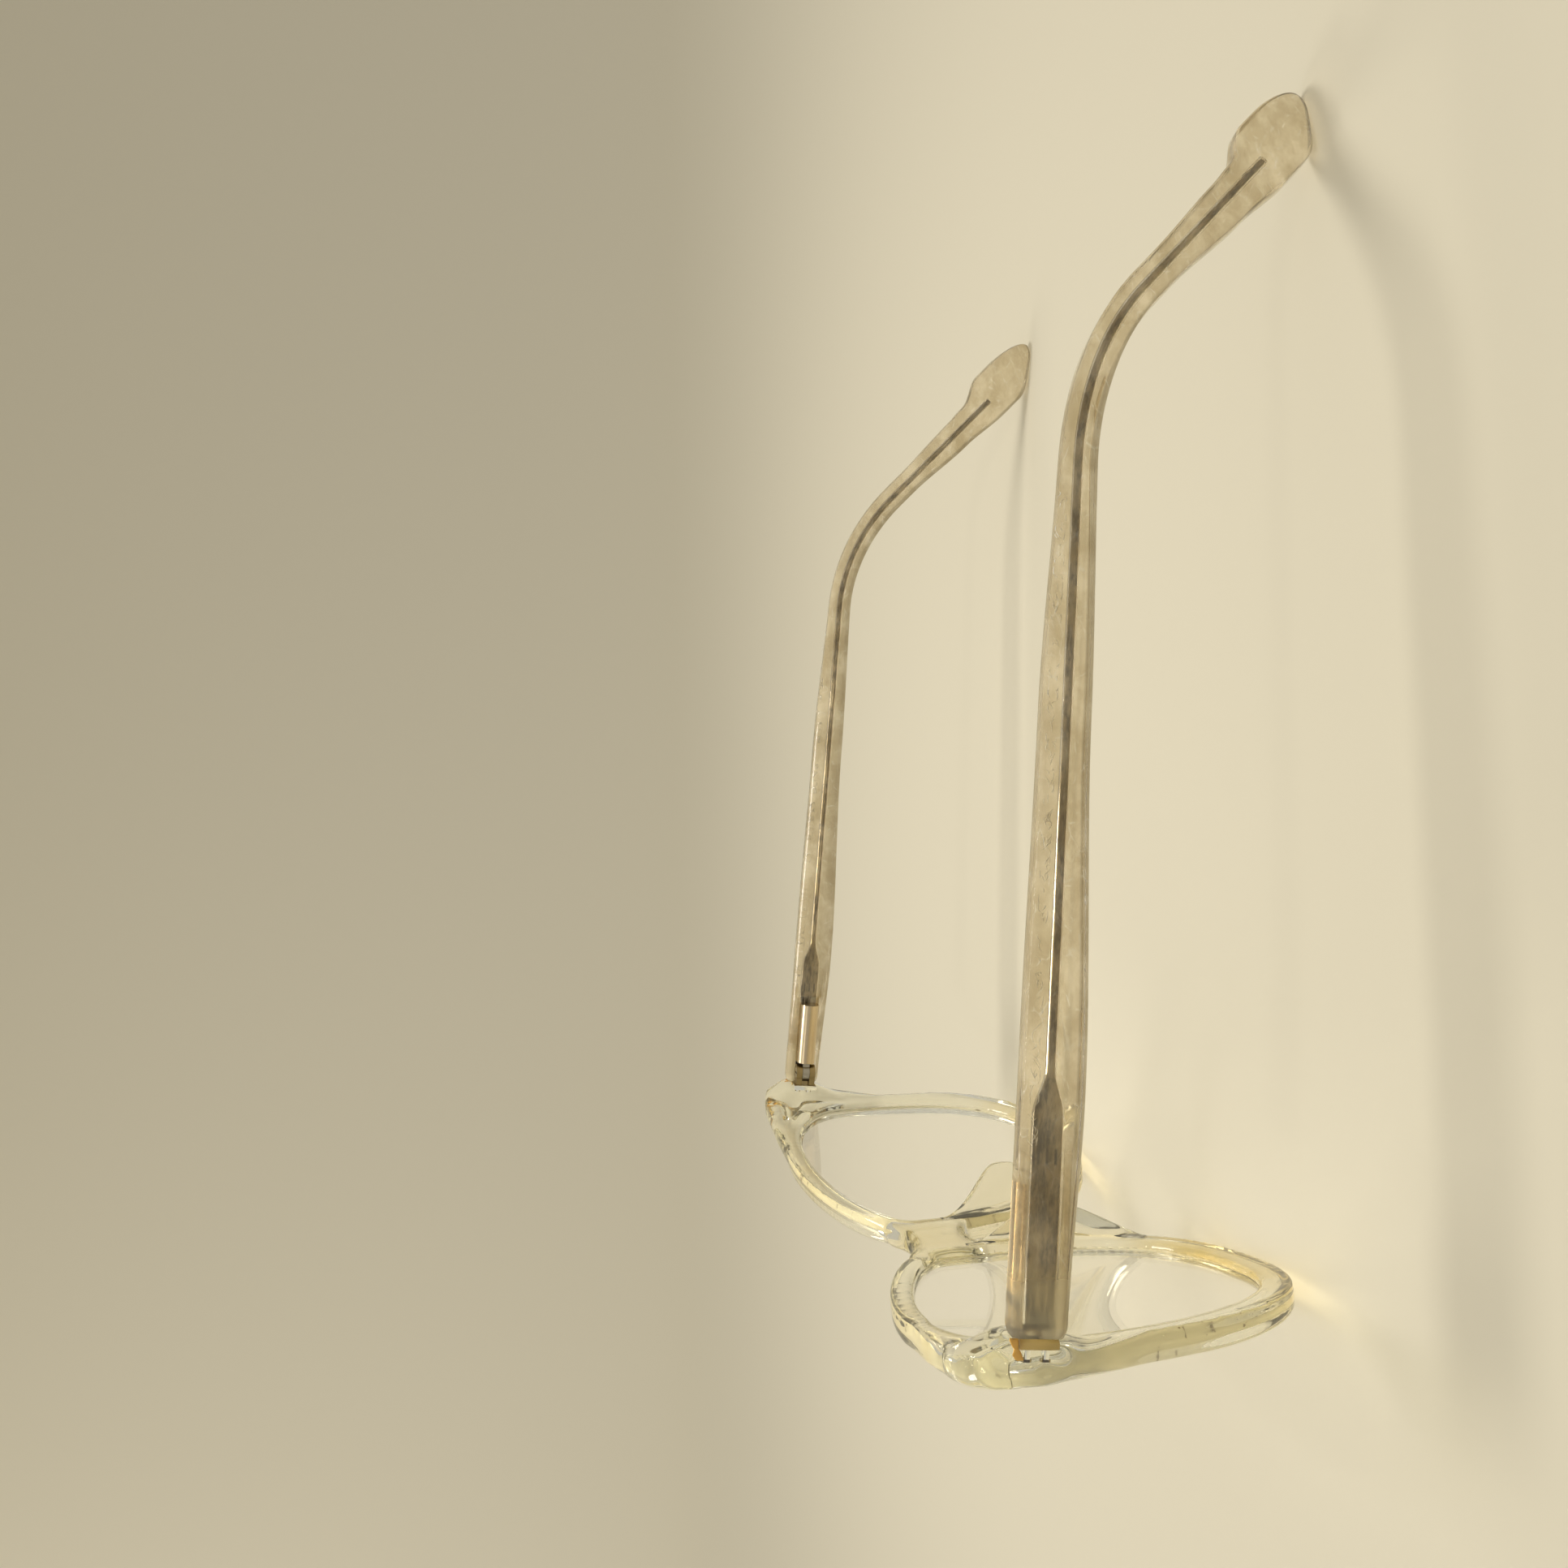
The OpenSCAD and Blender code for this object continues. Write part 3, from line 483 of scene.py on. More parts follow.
rubbed(front, np.maximum(np.maximum(by_nose, by_brow), by_heel), SOFT_PASSES)
rubbed(front, np.ones(len(points)), POLISH_PASSES)
settled(front, cutters)
stood(front)
front.data.shade_smooth()


def made(tree, kind, inputs=None, **settings):
    """A node of the tree with its settings. An input is a value, or the output that feeds it."""
    node = tree.nodes.new(kind)
    for key, value in settings.items():
        setattr(node, key, value)
    for key, value in (inputs or {}).items():
        if isinstance(value, bpy.types.NodeSocket):
            tree.links.new(value, node.inputs[key])
        else:
            node.inputs[key].default_value = value
    return node


def worked(tree, operation, a, b=0.0):
    """Two values, or outputs, put together by a sum of the given kind."""
    return made(tree, "ShaderNodeMath", {0: a, 1: b}, operation=operation).outputs[0]


def stepped(tree, value, a, b):
    """Soft step of a value from 0 at a to 1 at b."""
    span = {0: value, 1: a, 2: b}
    return made(tree, "ShaderNodeMapRange", span, interpolation_type="SMOOTHSTEP").outputs[0]


def between(tree, share, low, high):
    """The value that lies between low and high at the share."""
    return made(tree, "ShaderNodeMapRange", {0: share, 3: low, 4: high}).outputs[0]


def blended(tree, share, a, b):
    """The colour between a and b at the share."""
    return made(tree, "ShaderNodeMix", {0: share, "A": a, "B": b}, data_type="RGBA").outputs["Result"]


def grain(tree, place, scale, detail):
    """Plain noise of a scale and a detail, from 0 to 1."""
    noise = {"Vector": place, "Scale": scale, "Detail": detail}
    return made(tree, "ShaderNodeTexNoise", noise).outputs["Fac"]


def place_on(tree):
    """The place on the piece in metres, whole, and as X, Y and Z."""
    here = made(tree, "ShaderNodeTexCoord").outputs["Object"]
    return here, made(tree, "ShaderNodeSeparateXYZ", {0: here}).outputs


MANY_TURNS = 7.5


def clear_shadow(tree, body, share):
    """Lets the given share of the light through in shadows, as clear plastic does, and all of it once a ray
    has turned many times inside."""
    path = made(tree, "ShaderNodeLightPath").outputs
    through = worked(tree, "MULTIPLY", path["Is Shadow Ray"], share)
    tired = worked(tree, "GREATER_THAN", path["Ray Depth"], MANY_TURNS)
    hole = made(tree, "ShaderNodeBsdfTransparent").outputs[0]
    either = {0: worked(tree, "MAXIMUM", through, tired), 1: body.outputs[0], 2: hole}
    mix = made(tree, "ShaderNodeMixShader", either).outputs[0]
    tree.links.new(mix, tree.nodes["Material Output"].inputs["Surface"])


def tint(tree, colour, density):
    """Volume Absorption that deepens with the length of the light's way through the piece."""
    dye = made(tree, "ShaderNodeVolumeAbsorption", {"Color": colour, "Density": density}).outputs[0]
    tree.links.new(dye, tree.nodes["Material Output"].inputs["Volume"])


def group_of(name, inputs, outputs):
    """An empty shader node group with named sockets: returns it, its input node and its output node."""
    group = bpy.data.node_groups.new(name, "ShaderNodeTree")
    for label, value in inputs.items():
        kind = "NodeSocketVector" if isinstance(value, tuple) else "NodeSocketFloat"
        group.interface.new_socket(label, in_out="INPUT", socket_type=kind).default_value = value
    for label in outputs:
        group.interface.new_socket(label, in_out="OUTPUT", socket_type="NodeSocketFloat")
    return group, group.nodes.new("NodeGroupInput"), group.nodes.new("NodeGroupOutput")


WARP_SCALE, WARP_DETAIL, WARP_SHARE = 0.6, 3.0, 0.35
CLOUD_SCALE, CLOUD_DETAIL, CLOUD_ROUGH = 1.0, 6.0, 0.62
CLOUD_LOW, CLOUD_HIGH = 0.38, 0.66
FLAKE_WIDTH = 0.035
BREAK_SCALE, BREAK_DETAIL, BREAK_LOW, BREAK_HIGH = 2.3, 2.0, 0.52, 0.64


def flow_marks():
    """Flow in cast or rolled acetate. Clouds: warped noise drawn out along the piece, with its contrast
    raised. Flakes: thin lines where two cells of a warped cell pattern meet, broken up by noise."""
    inputs = {"Place": (0.0, 0.0, 0.0), "Scale": (1.0, 1.0, 1.0), "Fine": 1.0}
    group, given, out = group_of("flow_marks", inputs, ("Clouds", "Flakes"))
    scaled = {0: given.outputs["Place"], 1: given.outputs["Scale"]}
    place = made(group, "ShaderNodeVectorMath", scaled, operation="MULTIPLY").outputs[0]
    swirl = {"Vector": place, "Scale": WARP_SCALE, "Detail": WARP_DETAIL}
    swirl = made(group, "ShaderNodeTexNoise", swirl).outputs["Color"]
    mixed = {0: WARP_SHARE, "A": place, "B": swirl}
    warped = made(group, "ShaderNodeMix", mixed, data_type="VECTOR").outputs[1]
    clouds = {"Vector": warped, "Scale": CLOUD_SCALE, "Detail": CLOUD_DETAIL, "Roughness": CLOUD_ROUGH}
    clouds = made(group, "ShaderNodeTexNoise", clouds).outputs["Fac"]
    group.links.new(stepped(group, clouds, CLOUD_LOW, CLOUD_HIGH), out.inputs["Clouds"])
    cells = {"Vector": warped, "Scale": given.outputs["Fine"]}
    cells = made(group, "ShaderNodeTexVoronoi", cells, feature="DISTANCE_TO_EDGE").outputs["Distance"]
    lines = made(group, "ShaderNodeMapRange", {0: cells, 1: FLAKE_WIDTH, 2: 0.0}).outputs[0]
    kept = {0: grain(group, place, BREAK_SCALE, BREAK_DETAIL), 1: BREAK_LOW, 2: BREAK_HIGH}
    kept = made(group, "ShaderNodeMapRange", kept).outputs[0]
    group.links.new(worked(group, "MULTIPLY", lines, kept), out.inputs["Flakes"])
    return group


FLOW = flow_marks()


def flow_in(tree, place, scale, fine=1.0):
    """The flow marks, placed in a material with their own place and scale: their clouds and flakes."""
    inputs = {"Place": place, "Scale": scale, "Fine": fine}
    return made(tree, "ShaderNodeGroup", inputs, node_tree=FLOW).outputs


# Amber where the real one has yellowed, as pairs in metres from none to full: low down, near the bridge, and
# high up as far out as the lugs. Its colour is patchy, and specks of dirt gather where it is dirtiest.
CHAMPAGNE, AMBER, DIRT_BROWN = (0.985, 0.98, 0.91, 1), (0.90, 0.77, 0.42, 1), (0.3, 0.24, 0.16, 1)
AMBER_LOW, AMBER_BRIDGE = (0.011, 0.002), (0.012, 0.006)
AMBER_HIGH, AMBER_OUT = (0.0405, 0.044), (0.058, 0.052)
ENDS_SHARE, THINNEST = 0.6, 0.35
CRYSTAL_FLOW, CRYSTAL_FINE = (130.0, 130.0, 130.0), 1.7
SPECK_SCALE, SPECK_SIZE = 420.0, (0.075, 0.04)
DIRT_SCALE, DIRTY = 170.0, (0.58, 0.64)
DYE, DYE_DENSITY = (0.95, 0.92, 0.68, 1), 40
crystal, tree, body = shader("crystal_acetate", {"Roughness": 0.03, "IOR": 1.4, "Transmission Weight": 0.97})
here, at = place_on(tree)
clouds = flow_in(tree, here, CRYSTAL_FLOW, CRYSTAL_FINE)["Clouds"]
off_middle = worked(tree, "ABSOLUTE", at["X"])
low_down = stepped(tree, at["Z"], *AMBER_LOW)
high_up = worked(tree, "MULTIPLY", stepped(tree, at["Z"], *AMBER_HIGH), stepped(tree, off_middle, *AMBER_OUT))
ends = worked(tree, "MAXIMUM", stepped(tree, off_middle, *AMBER_BRIDGE), high_up)
amber = worked(tree, "MAXIMUM", low_down, worked(tree, "MULTIPLY", ends, ENDS_SHARE))
amber = worked(tree, "MULTIPLY", amber, between(tree, clouds, THINNEST, 1.0))
dyed = blended(tree, amber, CHAMPAGNE, AMBER)
specks = made(tree, "ShaderNodeTexVoronoi", {"Vector": here, "Scale": SPECK_SCALE}).outputs["Distance"]
dirty = stepped(tree, grain(tree, here, DIRT_SCALE, 1.0), *DIRTY)
specks = worked(tree, "MULTIPLY", stepped(tree, specks, *SPECK_SIZE), dirty)
tree.links.new(blended(tree, specks, dyed, DIRT_BROWN), body.inputs["Base Color"])
tint(tree, DYE, DYE_DENSITY)
clear_shadow(tree, body, 0.87)
front.data.materials.clear()
front.data.materials.append(crystal)
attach(front, "front")
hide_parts("front")

# GROOVES AND CUT EDGES
# A small cutter mills the lens grooves and leaves their floors frosted, and the lenses' edges are cut the
# same way. Dirt has settled in both. Each is a thin strip, one along the floor and one along the lens's edge.
STRIP_NEAR, STRIP_FAR = 0.015, 0.055
FLOOR_INSET, EDGE_INSET = 0.45, 0.16
FROST, OLD_FROST, GRIME = (0.98, 0.93, 0.74, 1), (0.94, 0.81, 0.50, 1), (0.4, 0.33, 0.22, 1)
OLD_LOW, OLD_SHARE = (0.009, 0.001), 0.7
GRIME_SCALE, GRIMY = 900.0, (0.65, 0.71)
LUG_ACROSS, LUG_UP, LUG_FROST = (0.052, 0.057), (0.029, 0.033), 0.5


def strip_rings(near, far, inset):
    """A thin strip along the groove between two distances from the opening, inset from the groove's sides."""
    t = np.linspace(0, 2 * np.pi, ROUND_STEPS, endpoint=False)[:, None]
    depth = GROOVE_Y + np.array((inset, inset, GROOVE_W - inset, GROOVE_W - inset))
    return on_front(*opening(np.array((near, far, far, near)), t), depth)


milled, tree, body = shader("milled_groove", {"Roughness": 0.45, "IOR": 1.05, "Transmission Weight": 0.6})
here, at = place_on(tree)
by_lug = stepped(tree, worked(tree, "ABSOLUTE", at["X"]), *LUG_ACROSS)
by_lug = worked(tree, "MULTIPLY", by_lug, stepped(tree, at["Z"], *LUG_UP))
tree.links.new(between(tree, by_lug, 1.0, LUG_FROST), body.inputs["Alpha"])
aged = worked(tree, "MULTIPLY", stepped(tree, at["Z"], *OLD_LOW), OLD_SHARE)
frosted = blended(tree, aged, FROST, OLD_FROST)
frosted = blended(tree, stepped(tree, grain(tree, here, GRIME_SCALE, 3.0), *GRIMY), frosted, GRIME)
tree.links.new(frosted, body.inputs["Base Color"])
clear_shadow(tree, body, 0.95)
lens_out = GROOVE_DEPTH - LENS_GAP
for side, word in SIDES:
    floor = strip_rings(GROOVE_DEPTH + STRIP_NEAR, GROOVE_DEPTH + STRIP_FAR, FLOOR_INSET)
    rim = strip_rings(lens_out - STRIP_FAR, lens_out - STRIP_NEAR, EDGE_INSET)
    for name, rings, slot in (("milled_groove_", floor, "crystal_acetate"),
                              ("cut_lens_edge_", rim, "clear_lens")):
        lining = skin(name + word, mirrored(rings, side), closed=True)
        stood(lining)
        lining.data.materials.append(milled)
        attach(lining, "front")

# LENSES
# Clear plastic demo lenses, 1.5 mm thick and bowed like the front, cut to the openings and snapped into their
# grooves.
LENS_RINGS, LENS_STEPS, LENS_MERGE = 26, 240, 0.001


def lens_rings(grow_back):
    """One face of the lens: the opening's outline shrunk towards its middle by the root of equal steps, on
    the front's sphere."""
    share = np.sqrt(np.linspace(0, 1, LENS_RINGS))[::-1, None]
    t = np.linspace(0, 2 * np.pi, LENS_STEPS, endpoint=False)
    x, z = opening(lens_out, t)
    middle = np.array((x.mean(), z.mean()))
    return on_front(middle[0] + (x - middle[0]) * share, middle[1] + (z - middle[1]) * share,
                    GROOVE_Y + LENS_GAP + grow_back)


clear = {"Base Color": (1, 1, 1, 1), "Roughness": 0.0, "IOR": 1.5, "Transmission Weight": 1.0}
clear_lens, tree, body = shader("clear_lens", clear)
clear_shadow(tree, body, 0.92)
for side, word in SIDES:
    faces = np.concatenate([lens_rings(0)[::-1], lens_rings(LENS_T)])
    lens = skin("demo_lens_" + word, mirrored(faces, side))
    lens.modifiers.new("merge", "WELD").merge_threshold = LENS_MERGE
    settled(lens)
    stood(lens)
    lens.data.materials.clear()
    lens.data.materials.append(clear_lens)
    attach(lens, "front")
    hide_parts("lens_" + word)

# NOSE PADS
# Clear acetate pads, cut and polished by themselves and glued behind the nose side of each rim. They are thin
# at both ends and splayed outwards. Angles along the rim are in degrees.
PAD_REACH, PAD_SPLAY, PAD_W, PAD_CREST, GLUE = 5.8, np.radians(24), 2.9, 1.3, 0.05
PAD_FROM, PAD_PEAK, PAD_TO = 184, 203, 232
RISE_FROM, FALL_TO = PAD_FROM - 1, PAD_TO + 2
PAD_OFF, PAD_FOOT, PAD_FOOT_H = 0.15, 0.45, 2
PAD_FALL, PAD_ROUND, PAD_NARROW = 0.8, 0.8, 1.5
PAD_DYE, PAD_DENSITY = (0.97, 0.91, 0.7, 1), 60


def pad_rings():
    """A low section that follows the rim and rises to a crest by a soft step, whose foot widens with its
    height, and which leans towards the nose with its height. Across, it rises by a power of the sine."""
    t = np.linspace(PAD_FROM, PAD_TO, 60)[:, None]
    fall = (1 - ease(t, PAD_PEAK, FALL_TO)) ** PAD_FALL
    h = PAD_REACH * np.where(t < PAD_PEAK, ease(t, RISE_FROM, PAD_PEAK), fall)
    t = np.radians(t)
    mid, lean = rim_width(t) / 2 + PAD_OFF, h * np.tan(PAD_SPLAY)
    half = PAD_W / 2 * (PAD_FOOT + (1 - PAD_FOOT) * np.minimum(1, h / PAD_FOOT_H))
    crest = np.minimum(PAD_CREST, half)
    a = np.linspace(0, np.pi, 15)
    rise = np.sin(a) ** PAD_ROUND
    wide = half + (crest / 2 - half) * rise ** PAD_NARROW
    return on_front(*opening(mid + wide * np.cos(a) - lean * rise, t), RIM_T + GLUE + h * rise)


clear = {"Base Color": (0.98, 0.96, 0.86, 1), "Roughness": 0.08, "IOR": 1.38, "Transmission Weight": 0.93}
pad_crystal, tree, body = shader("crystal_acetate_pad", clear)
tint(tree, PAD_DYE, PAD_DENSITY)
clear_shadow(tree, body, 0.8)
for side, word in SIDES:
    pad = skin("nose_pad_piece_" + word, mirrored(pad_rings(), side))
    stood(pad)
    pad.data.materials.append(pad_crystal)
    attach(pad, "front")
    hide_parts("nose_pad_" + word)

# TEMPLES
# Milky pearl acetate, 3.2 mm thick, cast round a metal core. Each runs straight to the ear, bends down and
# in, and ends in a paddle without core. A pocket is milled into the inner face for the spring box. The lines
# below pair a station along the wire with the height or thickness there.
STRAIGHT, EAR_RADIUS, EAR_BEND, EAR_RUN = 85.6, 32.0, np.radians(39.8), 23.2
TIP_RUN, EAR_INWARD, INWARD_SOFT = 10.8, 0.21, 14.0
EAR_T = 2.7
PADDLE_UP, PADDLE_DOWN = 4.4, 3.45
BEND_END = STRAIGHT + EAR_RADIUS * EAR_BEND
WIRE_END = BEND_END + EAR_RUN
TIP_END = WIRE_END + TIP_RUN
ROUND_RUN, TIP_MID, TIP_THIN = 7.0, 2.2, 0.35
TOP_LINE = ((0, TEMPLE_UP), (27, TEMPLE_UP - 0.1), (60, TEMPLE_UP - 0.4), (90, 1.75), (112, 1.75),
            (WIRE_END - 8, 2.1), (WIRE_END - 4, 2.3), (WIRE_END + 1.2, PADDLE_UP), (TIP_END, PADDLE_UP))
LOW_LINE = ((0, TEMPLE_DOWN), (24, TEMPLE_DOWN + 0.8), (60, TEMPLE_DOWN - 0.25), (90, 1.85),
            (WIRE_END - 20, 1.95), (WIRE_END - 8, 2.75), (WIRE_END, PADDLE_DOWN), (WIRE_END + 4, PADDLE_DOWN),
            (TIP_END, 1.4))
THICK_LINE = ((0, TEMPLE_T), (40, TEMPLE_T - 0.2), (90, EAR_T), (WIRE_END - 6, EAR_T),
              (WIRE_END + 4, EAR_T + 0.2), (TIP_END, EAR_T - 0.3))
END_SOFT, END_RUN = 0.3, 0.8
INNER_EDGE, OUTER_EDGE, CRISP_EDGE = 0.75, 0.5, 0.25
CRISP_FROM, CRISP_TO = 17, 24
EDGE_STEPS, EDGE_FLAT = 9, 1.6
EDGE_SHARE, EDGE_MORE, LAST_RING = 0.4, 0.1, 0.998
NUDGE = 0.01


def soft_path(pairs, s):
    """Value at s of a path through pairs of station and value, with a soft step between each two."""
    value = np.full_like(s, pairs[0][1])
    for (a, low), (b, high) in zip(pairs, pairs[1:]):
        value = value + (high - low) * ease(s, a, b)
    return value


def on_wire(s):
    """The wire line in the temple's frame: straight, an arc downwards, straight again. Past the straight it
    is drawn inwards by a parabola and then a line."""
    past = np.maximum(0, s - STRAIGHT)
    drawn = np.where(past < INWARD_SOFT, past ** 2 / (2 * INWARD_SOFT), past - INWARD_SOFT / 2)
    a = EAR_BEND * np.clip((s - STRAIGHT) / (BEND_END - STRAIGHT), 0, 1)
    run = np.maximum(0, s - BEND_END)
    along = np.minimum(s, STRAIGHT) + EAR_RADIUS * np.sin(a) + run * np.cos(a)
    return np.stack([-EAR_INWARD * drawn, along, -EAR_RADIUS * (1 - np.cos(a)) - run * np.sin(a)], -1)


def at_station(s, side, up):
    """Points off the wire line, by a distance sideways and a distance up, square to the line's run there."""
    ahead = on_wire(s + NUDGE) - on_wire(s - NUDGE)
    ahead /= np.linalg.norm(ahead, axis=-1, keepdims=True)
    sideways = np.stack([ahead[..., 1], -ahead[..., 0], np.zeros_like(s)], -1)
    sideways /= np.linalg.norm(sideways, axis=-1, keepdims=True)
    upwards = np.cross(sideways, ahead)
    return on_wire(s) + side[..., None] * sideways + up[..., None] * upwards


def temple_rings():
    """A rounded rectangle carried along the wire line. Its last stretch closes like a quarter ellipse, and
    its front end draws in by a soft step."""
    round_from = TIP_END - ROUND_RUN
    angle = np.linspace(0, np.pi / 2, 24)
    s = np.concatenate([np.arange(0, round_from, 0.5), TIP_END - ROUND_RUN * (1 - np.sin(angle))])[:, None]
    t = np.clip((s - round_from) / ROUND_RUN, 0, LAST_RING)
    roundness = np.sqrt(1 - t * t)
    end = END_SOFT * (1 - ease(s, 0, END_RUN))
    half = soft_path(THICK_LINE, s) / 2 * (TIP_THIN + (1 - TIP_THIN) * roundness) - end
    up = TIP_MID * (1 - roundness) + roundness * soft_path(TOP_LINE, s) - end
    low = -TIP_MID * (1 - roundness) + roundness * soft_path(LOW_LINE, s) - end
    e = np.minimum(INNER_EDGE, np.minimum(EDGE_SHARE * half + EDGE_MORE, EDGE_SHARE * (up + low)))
    f = np.minimum(OUTER_EDGE, np.minimum(EDGE_SHARE * half, EDGE_SHARE * (up + low)))
    crisp = e - np.maximum(0, e - CRISP_EDGE) * ease(s, CRISP_FROM, CRISP_TO)
    a, b = soft_box(-half, half, -low, up, (f, crisp, e, f), EDGE_STEPS, EDGE_FLAT)
    return on_temple(at_station(np.broadcast_to(s, a.shape), a, b))


SHOE_FROM, SHOE_L, SHOE_H, SHOE_T, SHOE_TAPER, SHOE_UP = 1.3, 20.2, 3.0, 0.9, 4.0, 0.1
SHOE_CORNER = 0.25
WIRE_D = 1.05
BARREL_R, BOX_GAP, BOX_L, NOTCH, BARREL_H = 1.5, 0.4, 10.5, 1.2, 3.3
POCKET_OVER, POCKET_PAST = 0.1, 0.5


def core_rings(gap):
    """From a flat shoe with rounded corners to a round wire by a soft step, carried along the wire line, with
    a gap all round. Returns the rings, and each point's station: how far along, out and up it is."""
    s = np.concatenate([np.linspace(SHOE_FROM - gap, SHOE_FROM + SHOE_L - 1, 12),
                        np.linspace(SHOE_FROM + SHOE_L - 0.5, STRAIGHT, 80),
                        np.linspace(STRAIGHT + 0.5, WIRE_END + gap, 100)])[:, None]
    k = 1 - ease(s, SHOE_FROM + SHOE_L - 0.5, SHOE_FROM + SHOE_L + SHOE_TAPER)
    r = WIRE_D / 2 + gap
    half, tall = r + k * (SHOE_T - WIRE_D) / 2, r + k * (SHOE_H - WIRE_D) / 2
    corner = r + (SHOE_CORNER - r) * k
    a, b = soft_box(-half, half, -tall, tall, (corner,) * 4, 5)
    s = np.broadcast_to(s, a.shape)
    return on_temple(at_station(s, a, b + SHOE_UP * k)), np.stack([s, a, b], -1)


MILK_DARK, MILK_PALE, FLAKE_WHITE = (0.66, 0.57, 0.40, 1), (0.96, 0.88, 0.71, 1), (1.0, 0.99, 0.94, 1)
JOINT_PEARL = (0.91, 0.83, 0.62, 1)
JOINT_BACK, JOINT_AHEAD = -0.0508, -0.0545
PEARL_POLISH, JOINT_MATT = 0.05, 0.42
PEARL_FLOW, PEARL_FINE = (420.0, 260.0, 420.0), 1.6
FLAKE_BUMP, FLAKE_DEPTH = 0.25, 0.00005
pearl, tree, body = shader("pearl_acetate", {"IOR": 1.34, "Transmission Weight": 0.87})
here, at = place_on(tree)
marks = flow_in(tree, here, PEARL_FLOW, PEARL_FINE)
milk = blended(tree, marks["Clouds"], MILK_DARK, MILK_PALE)
milk = blended(tree, marks["Flakes"], milk, FLAKE_WHITE)
at_joint = stepped(tree, at["Y"], JOINT_BACK, JOINT_AHEAD)
tree.links.new(blended(tree, at_joint, milk, JOINT_PEARL), body.inputs["Base Color"])
tree.links.new(between(tree, at_joint, PEARL_POLISH, JOINT_MATT), body.inputs["Roughness"])
raised = {"Height": marks["Flakes"], "Strength": FLAKE_BUMP, "Distance": FLAKE_DEPTH}
tree.links.new(made(tree, "ShaderNodeBump", raised).outputs[0], body.inputs["Normal"])
clear_shadow(tree, body, 0.4)
pocket_end = AXIS_BACK + BARREL_R + BOX_GAP + BOX_L + NOTCH
pocket_h = BARREL_H / 2 + POCKET_OVER
for side, word in SIDES:
    temple = skin("pearl_temple_" + word, mirrored(temple_rings(), side))
    channel = skin("channel", mirrored(core_rings(BED_GAP)[0], side))
    pocket = block("pocket", (-TEMPLE_T, -POCKET_PAST, -pocket_h), (-SHOE_T / 2, pocket_end, pocket_h), side)
    settled(temple, (channel, pocket))
    stood(temple)
    temple.data.materials.clear()
    temple.data.materials.append(pearl)
    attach(temple, "temple_" + word)
    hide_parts("temple_" + word)

# CORE WIRES
# Drawn nickel silver wire, rolled to a flat shoe at its front end and pushed into the warm temple. It is
# mottled with tarnish, and its near-black is also painted shade for the dim light inside the temple and the
# spring box behind. The shoe has three short dark bars on it. The pattern follows each point's station, which
# is how far along, out and up it is in millimetres.
# Painted shade: the near-black tarnish colour also darkens the core for the dim light inside the temple.
TARNISH_AND_SHADE, METAL, PALE_PATCH = (0.02, 0.014, 0.01, 1), (0.40, 0.36, 0.29, 1), (0.62, 0.58, 0.48, 1)
BAR_BLACK, PATCH_SHARE = (0.008, 0.006, 0.004, 1), 0.6
BAR_AT, BAR_HALF, BAR_SOFT, BAR_STEP = 17.1, 0.95, 0.35, 0.85
BAR_THIN, BAR_FULL = 0.4, 0.75
STREAK_FLOW, PATCH_FLOW = (0.8, 0.8, 3.6), (0.5, 0.45, 0.9)
core_metal, tree, body = shader("core_wire_metal", {"Metallic": 0.85, "Roughness": 0.3})
station = made(tree, "ShaderNodeAttribute", attribute_name="station").outputs["Vector"]
streaks = flow_in(tree, station, STREAK_FLOW)["Clouds"]
patches = worked(tree, "MULTIPLY", flow_in(tree, station, PATCH_FLOW)["Clouds"], PATCH_SHARE)
metal = blended(tree, patches, blended(tree, streaks, TARNISH_AND_SHADE, METAL), PALE_PATCH)
at = made(tree, "ShaderNodeSeparateXYZ", {0: station}).outputs
waves = worked(tree, "COSINE", worked(tree, "MULTIPLY", at["Z"], 2 * np.pi / BAR_STEP))
off_bars = worked(tree, "ABSOLUTE", worked(tree, "SUBTRACT", at["X"], BAR_AT))
bars = worked(tree, "MULTIPLY", stepped(tree, waves, BAR_THIN, BAR_FULL),
              stepped(tree, off_bars, BAR_HALF, BAR_HALF - BAR_SOFT))
tree.links.new(blended(tree, bars, metal, BAR_BLACK), body.inputs["Base Color"])
for side, word in SIDES:
    rings, stations = core_rings(0)
    core = skin("core_" + word, mirrored(rings, side))
    core.data.attributes.new("station", "FLOAT_VECTOR", "POINT").data.foreach_set("vector", stations.ravel())
    stood(core)
    core.data.materials.append(core_metal)
    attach(core, "temple_" + word)
    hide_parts("core_wire_" + word)

# PEARL HAZE AND THREADS
# The milk of the pearl is thickest over and under the shoe, where it set last, as two soft blocks inside each
# temple. Fine curved threads of it lie just under the outer face.
HAZE_OUT, HAZE_ALONG = (0.3, 0.9), (0.9, 20.5)
HAZE_UP = (("over", 1.85, 2.65), ("under", -2.3, -1.6))
HAZE_FADED, HAZE_FULL = -0.0385, -0.0440
HAZE_THIN, HAZE_THICK = 0.35, 0.85
HAZE_FLOW = (500.0, 260.0, 500.0)
THREADS, THREAD_SEED = 150, 5
THREAD_ALONG, THREAD_UP, THREAD_OUT = (18, 82), (1.35, 2.3), (1.0, 1.25)
THREAD_L, THREAD_HEADING, THREAD_CURL = (0.3, 1.5), (-0.9, 0.9), (-0.35, 0.35)
THREAD_R, THREAD_END_R = 0.04, 0.008


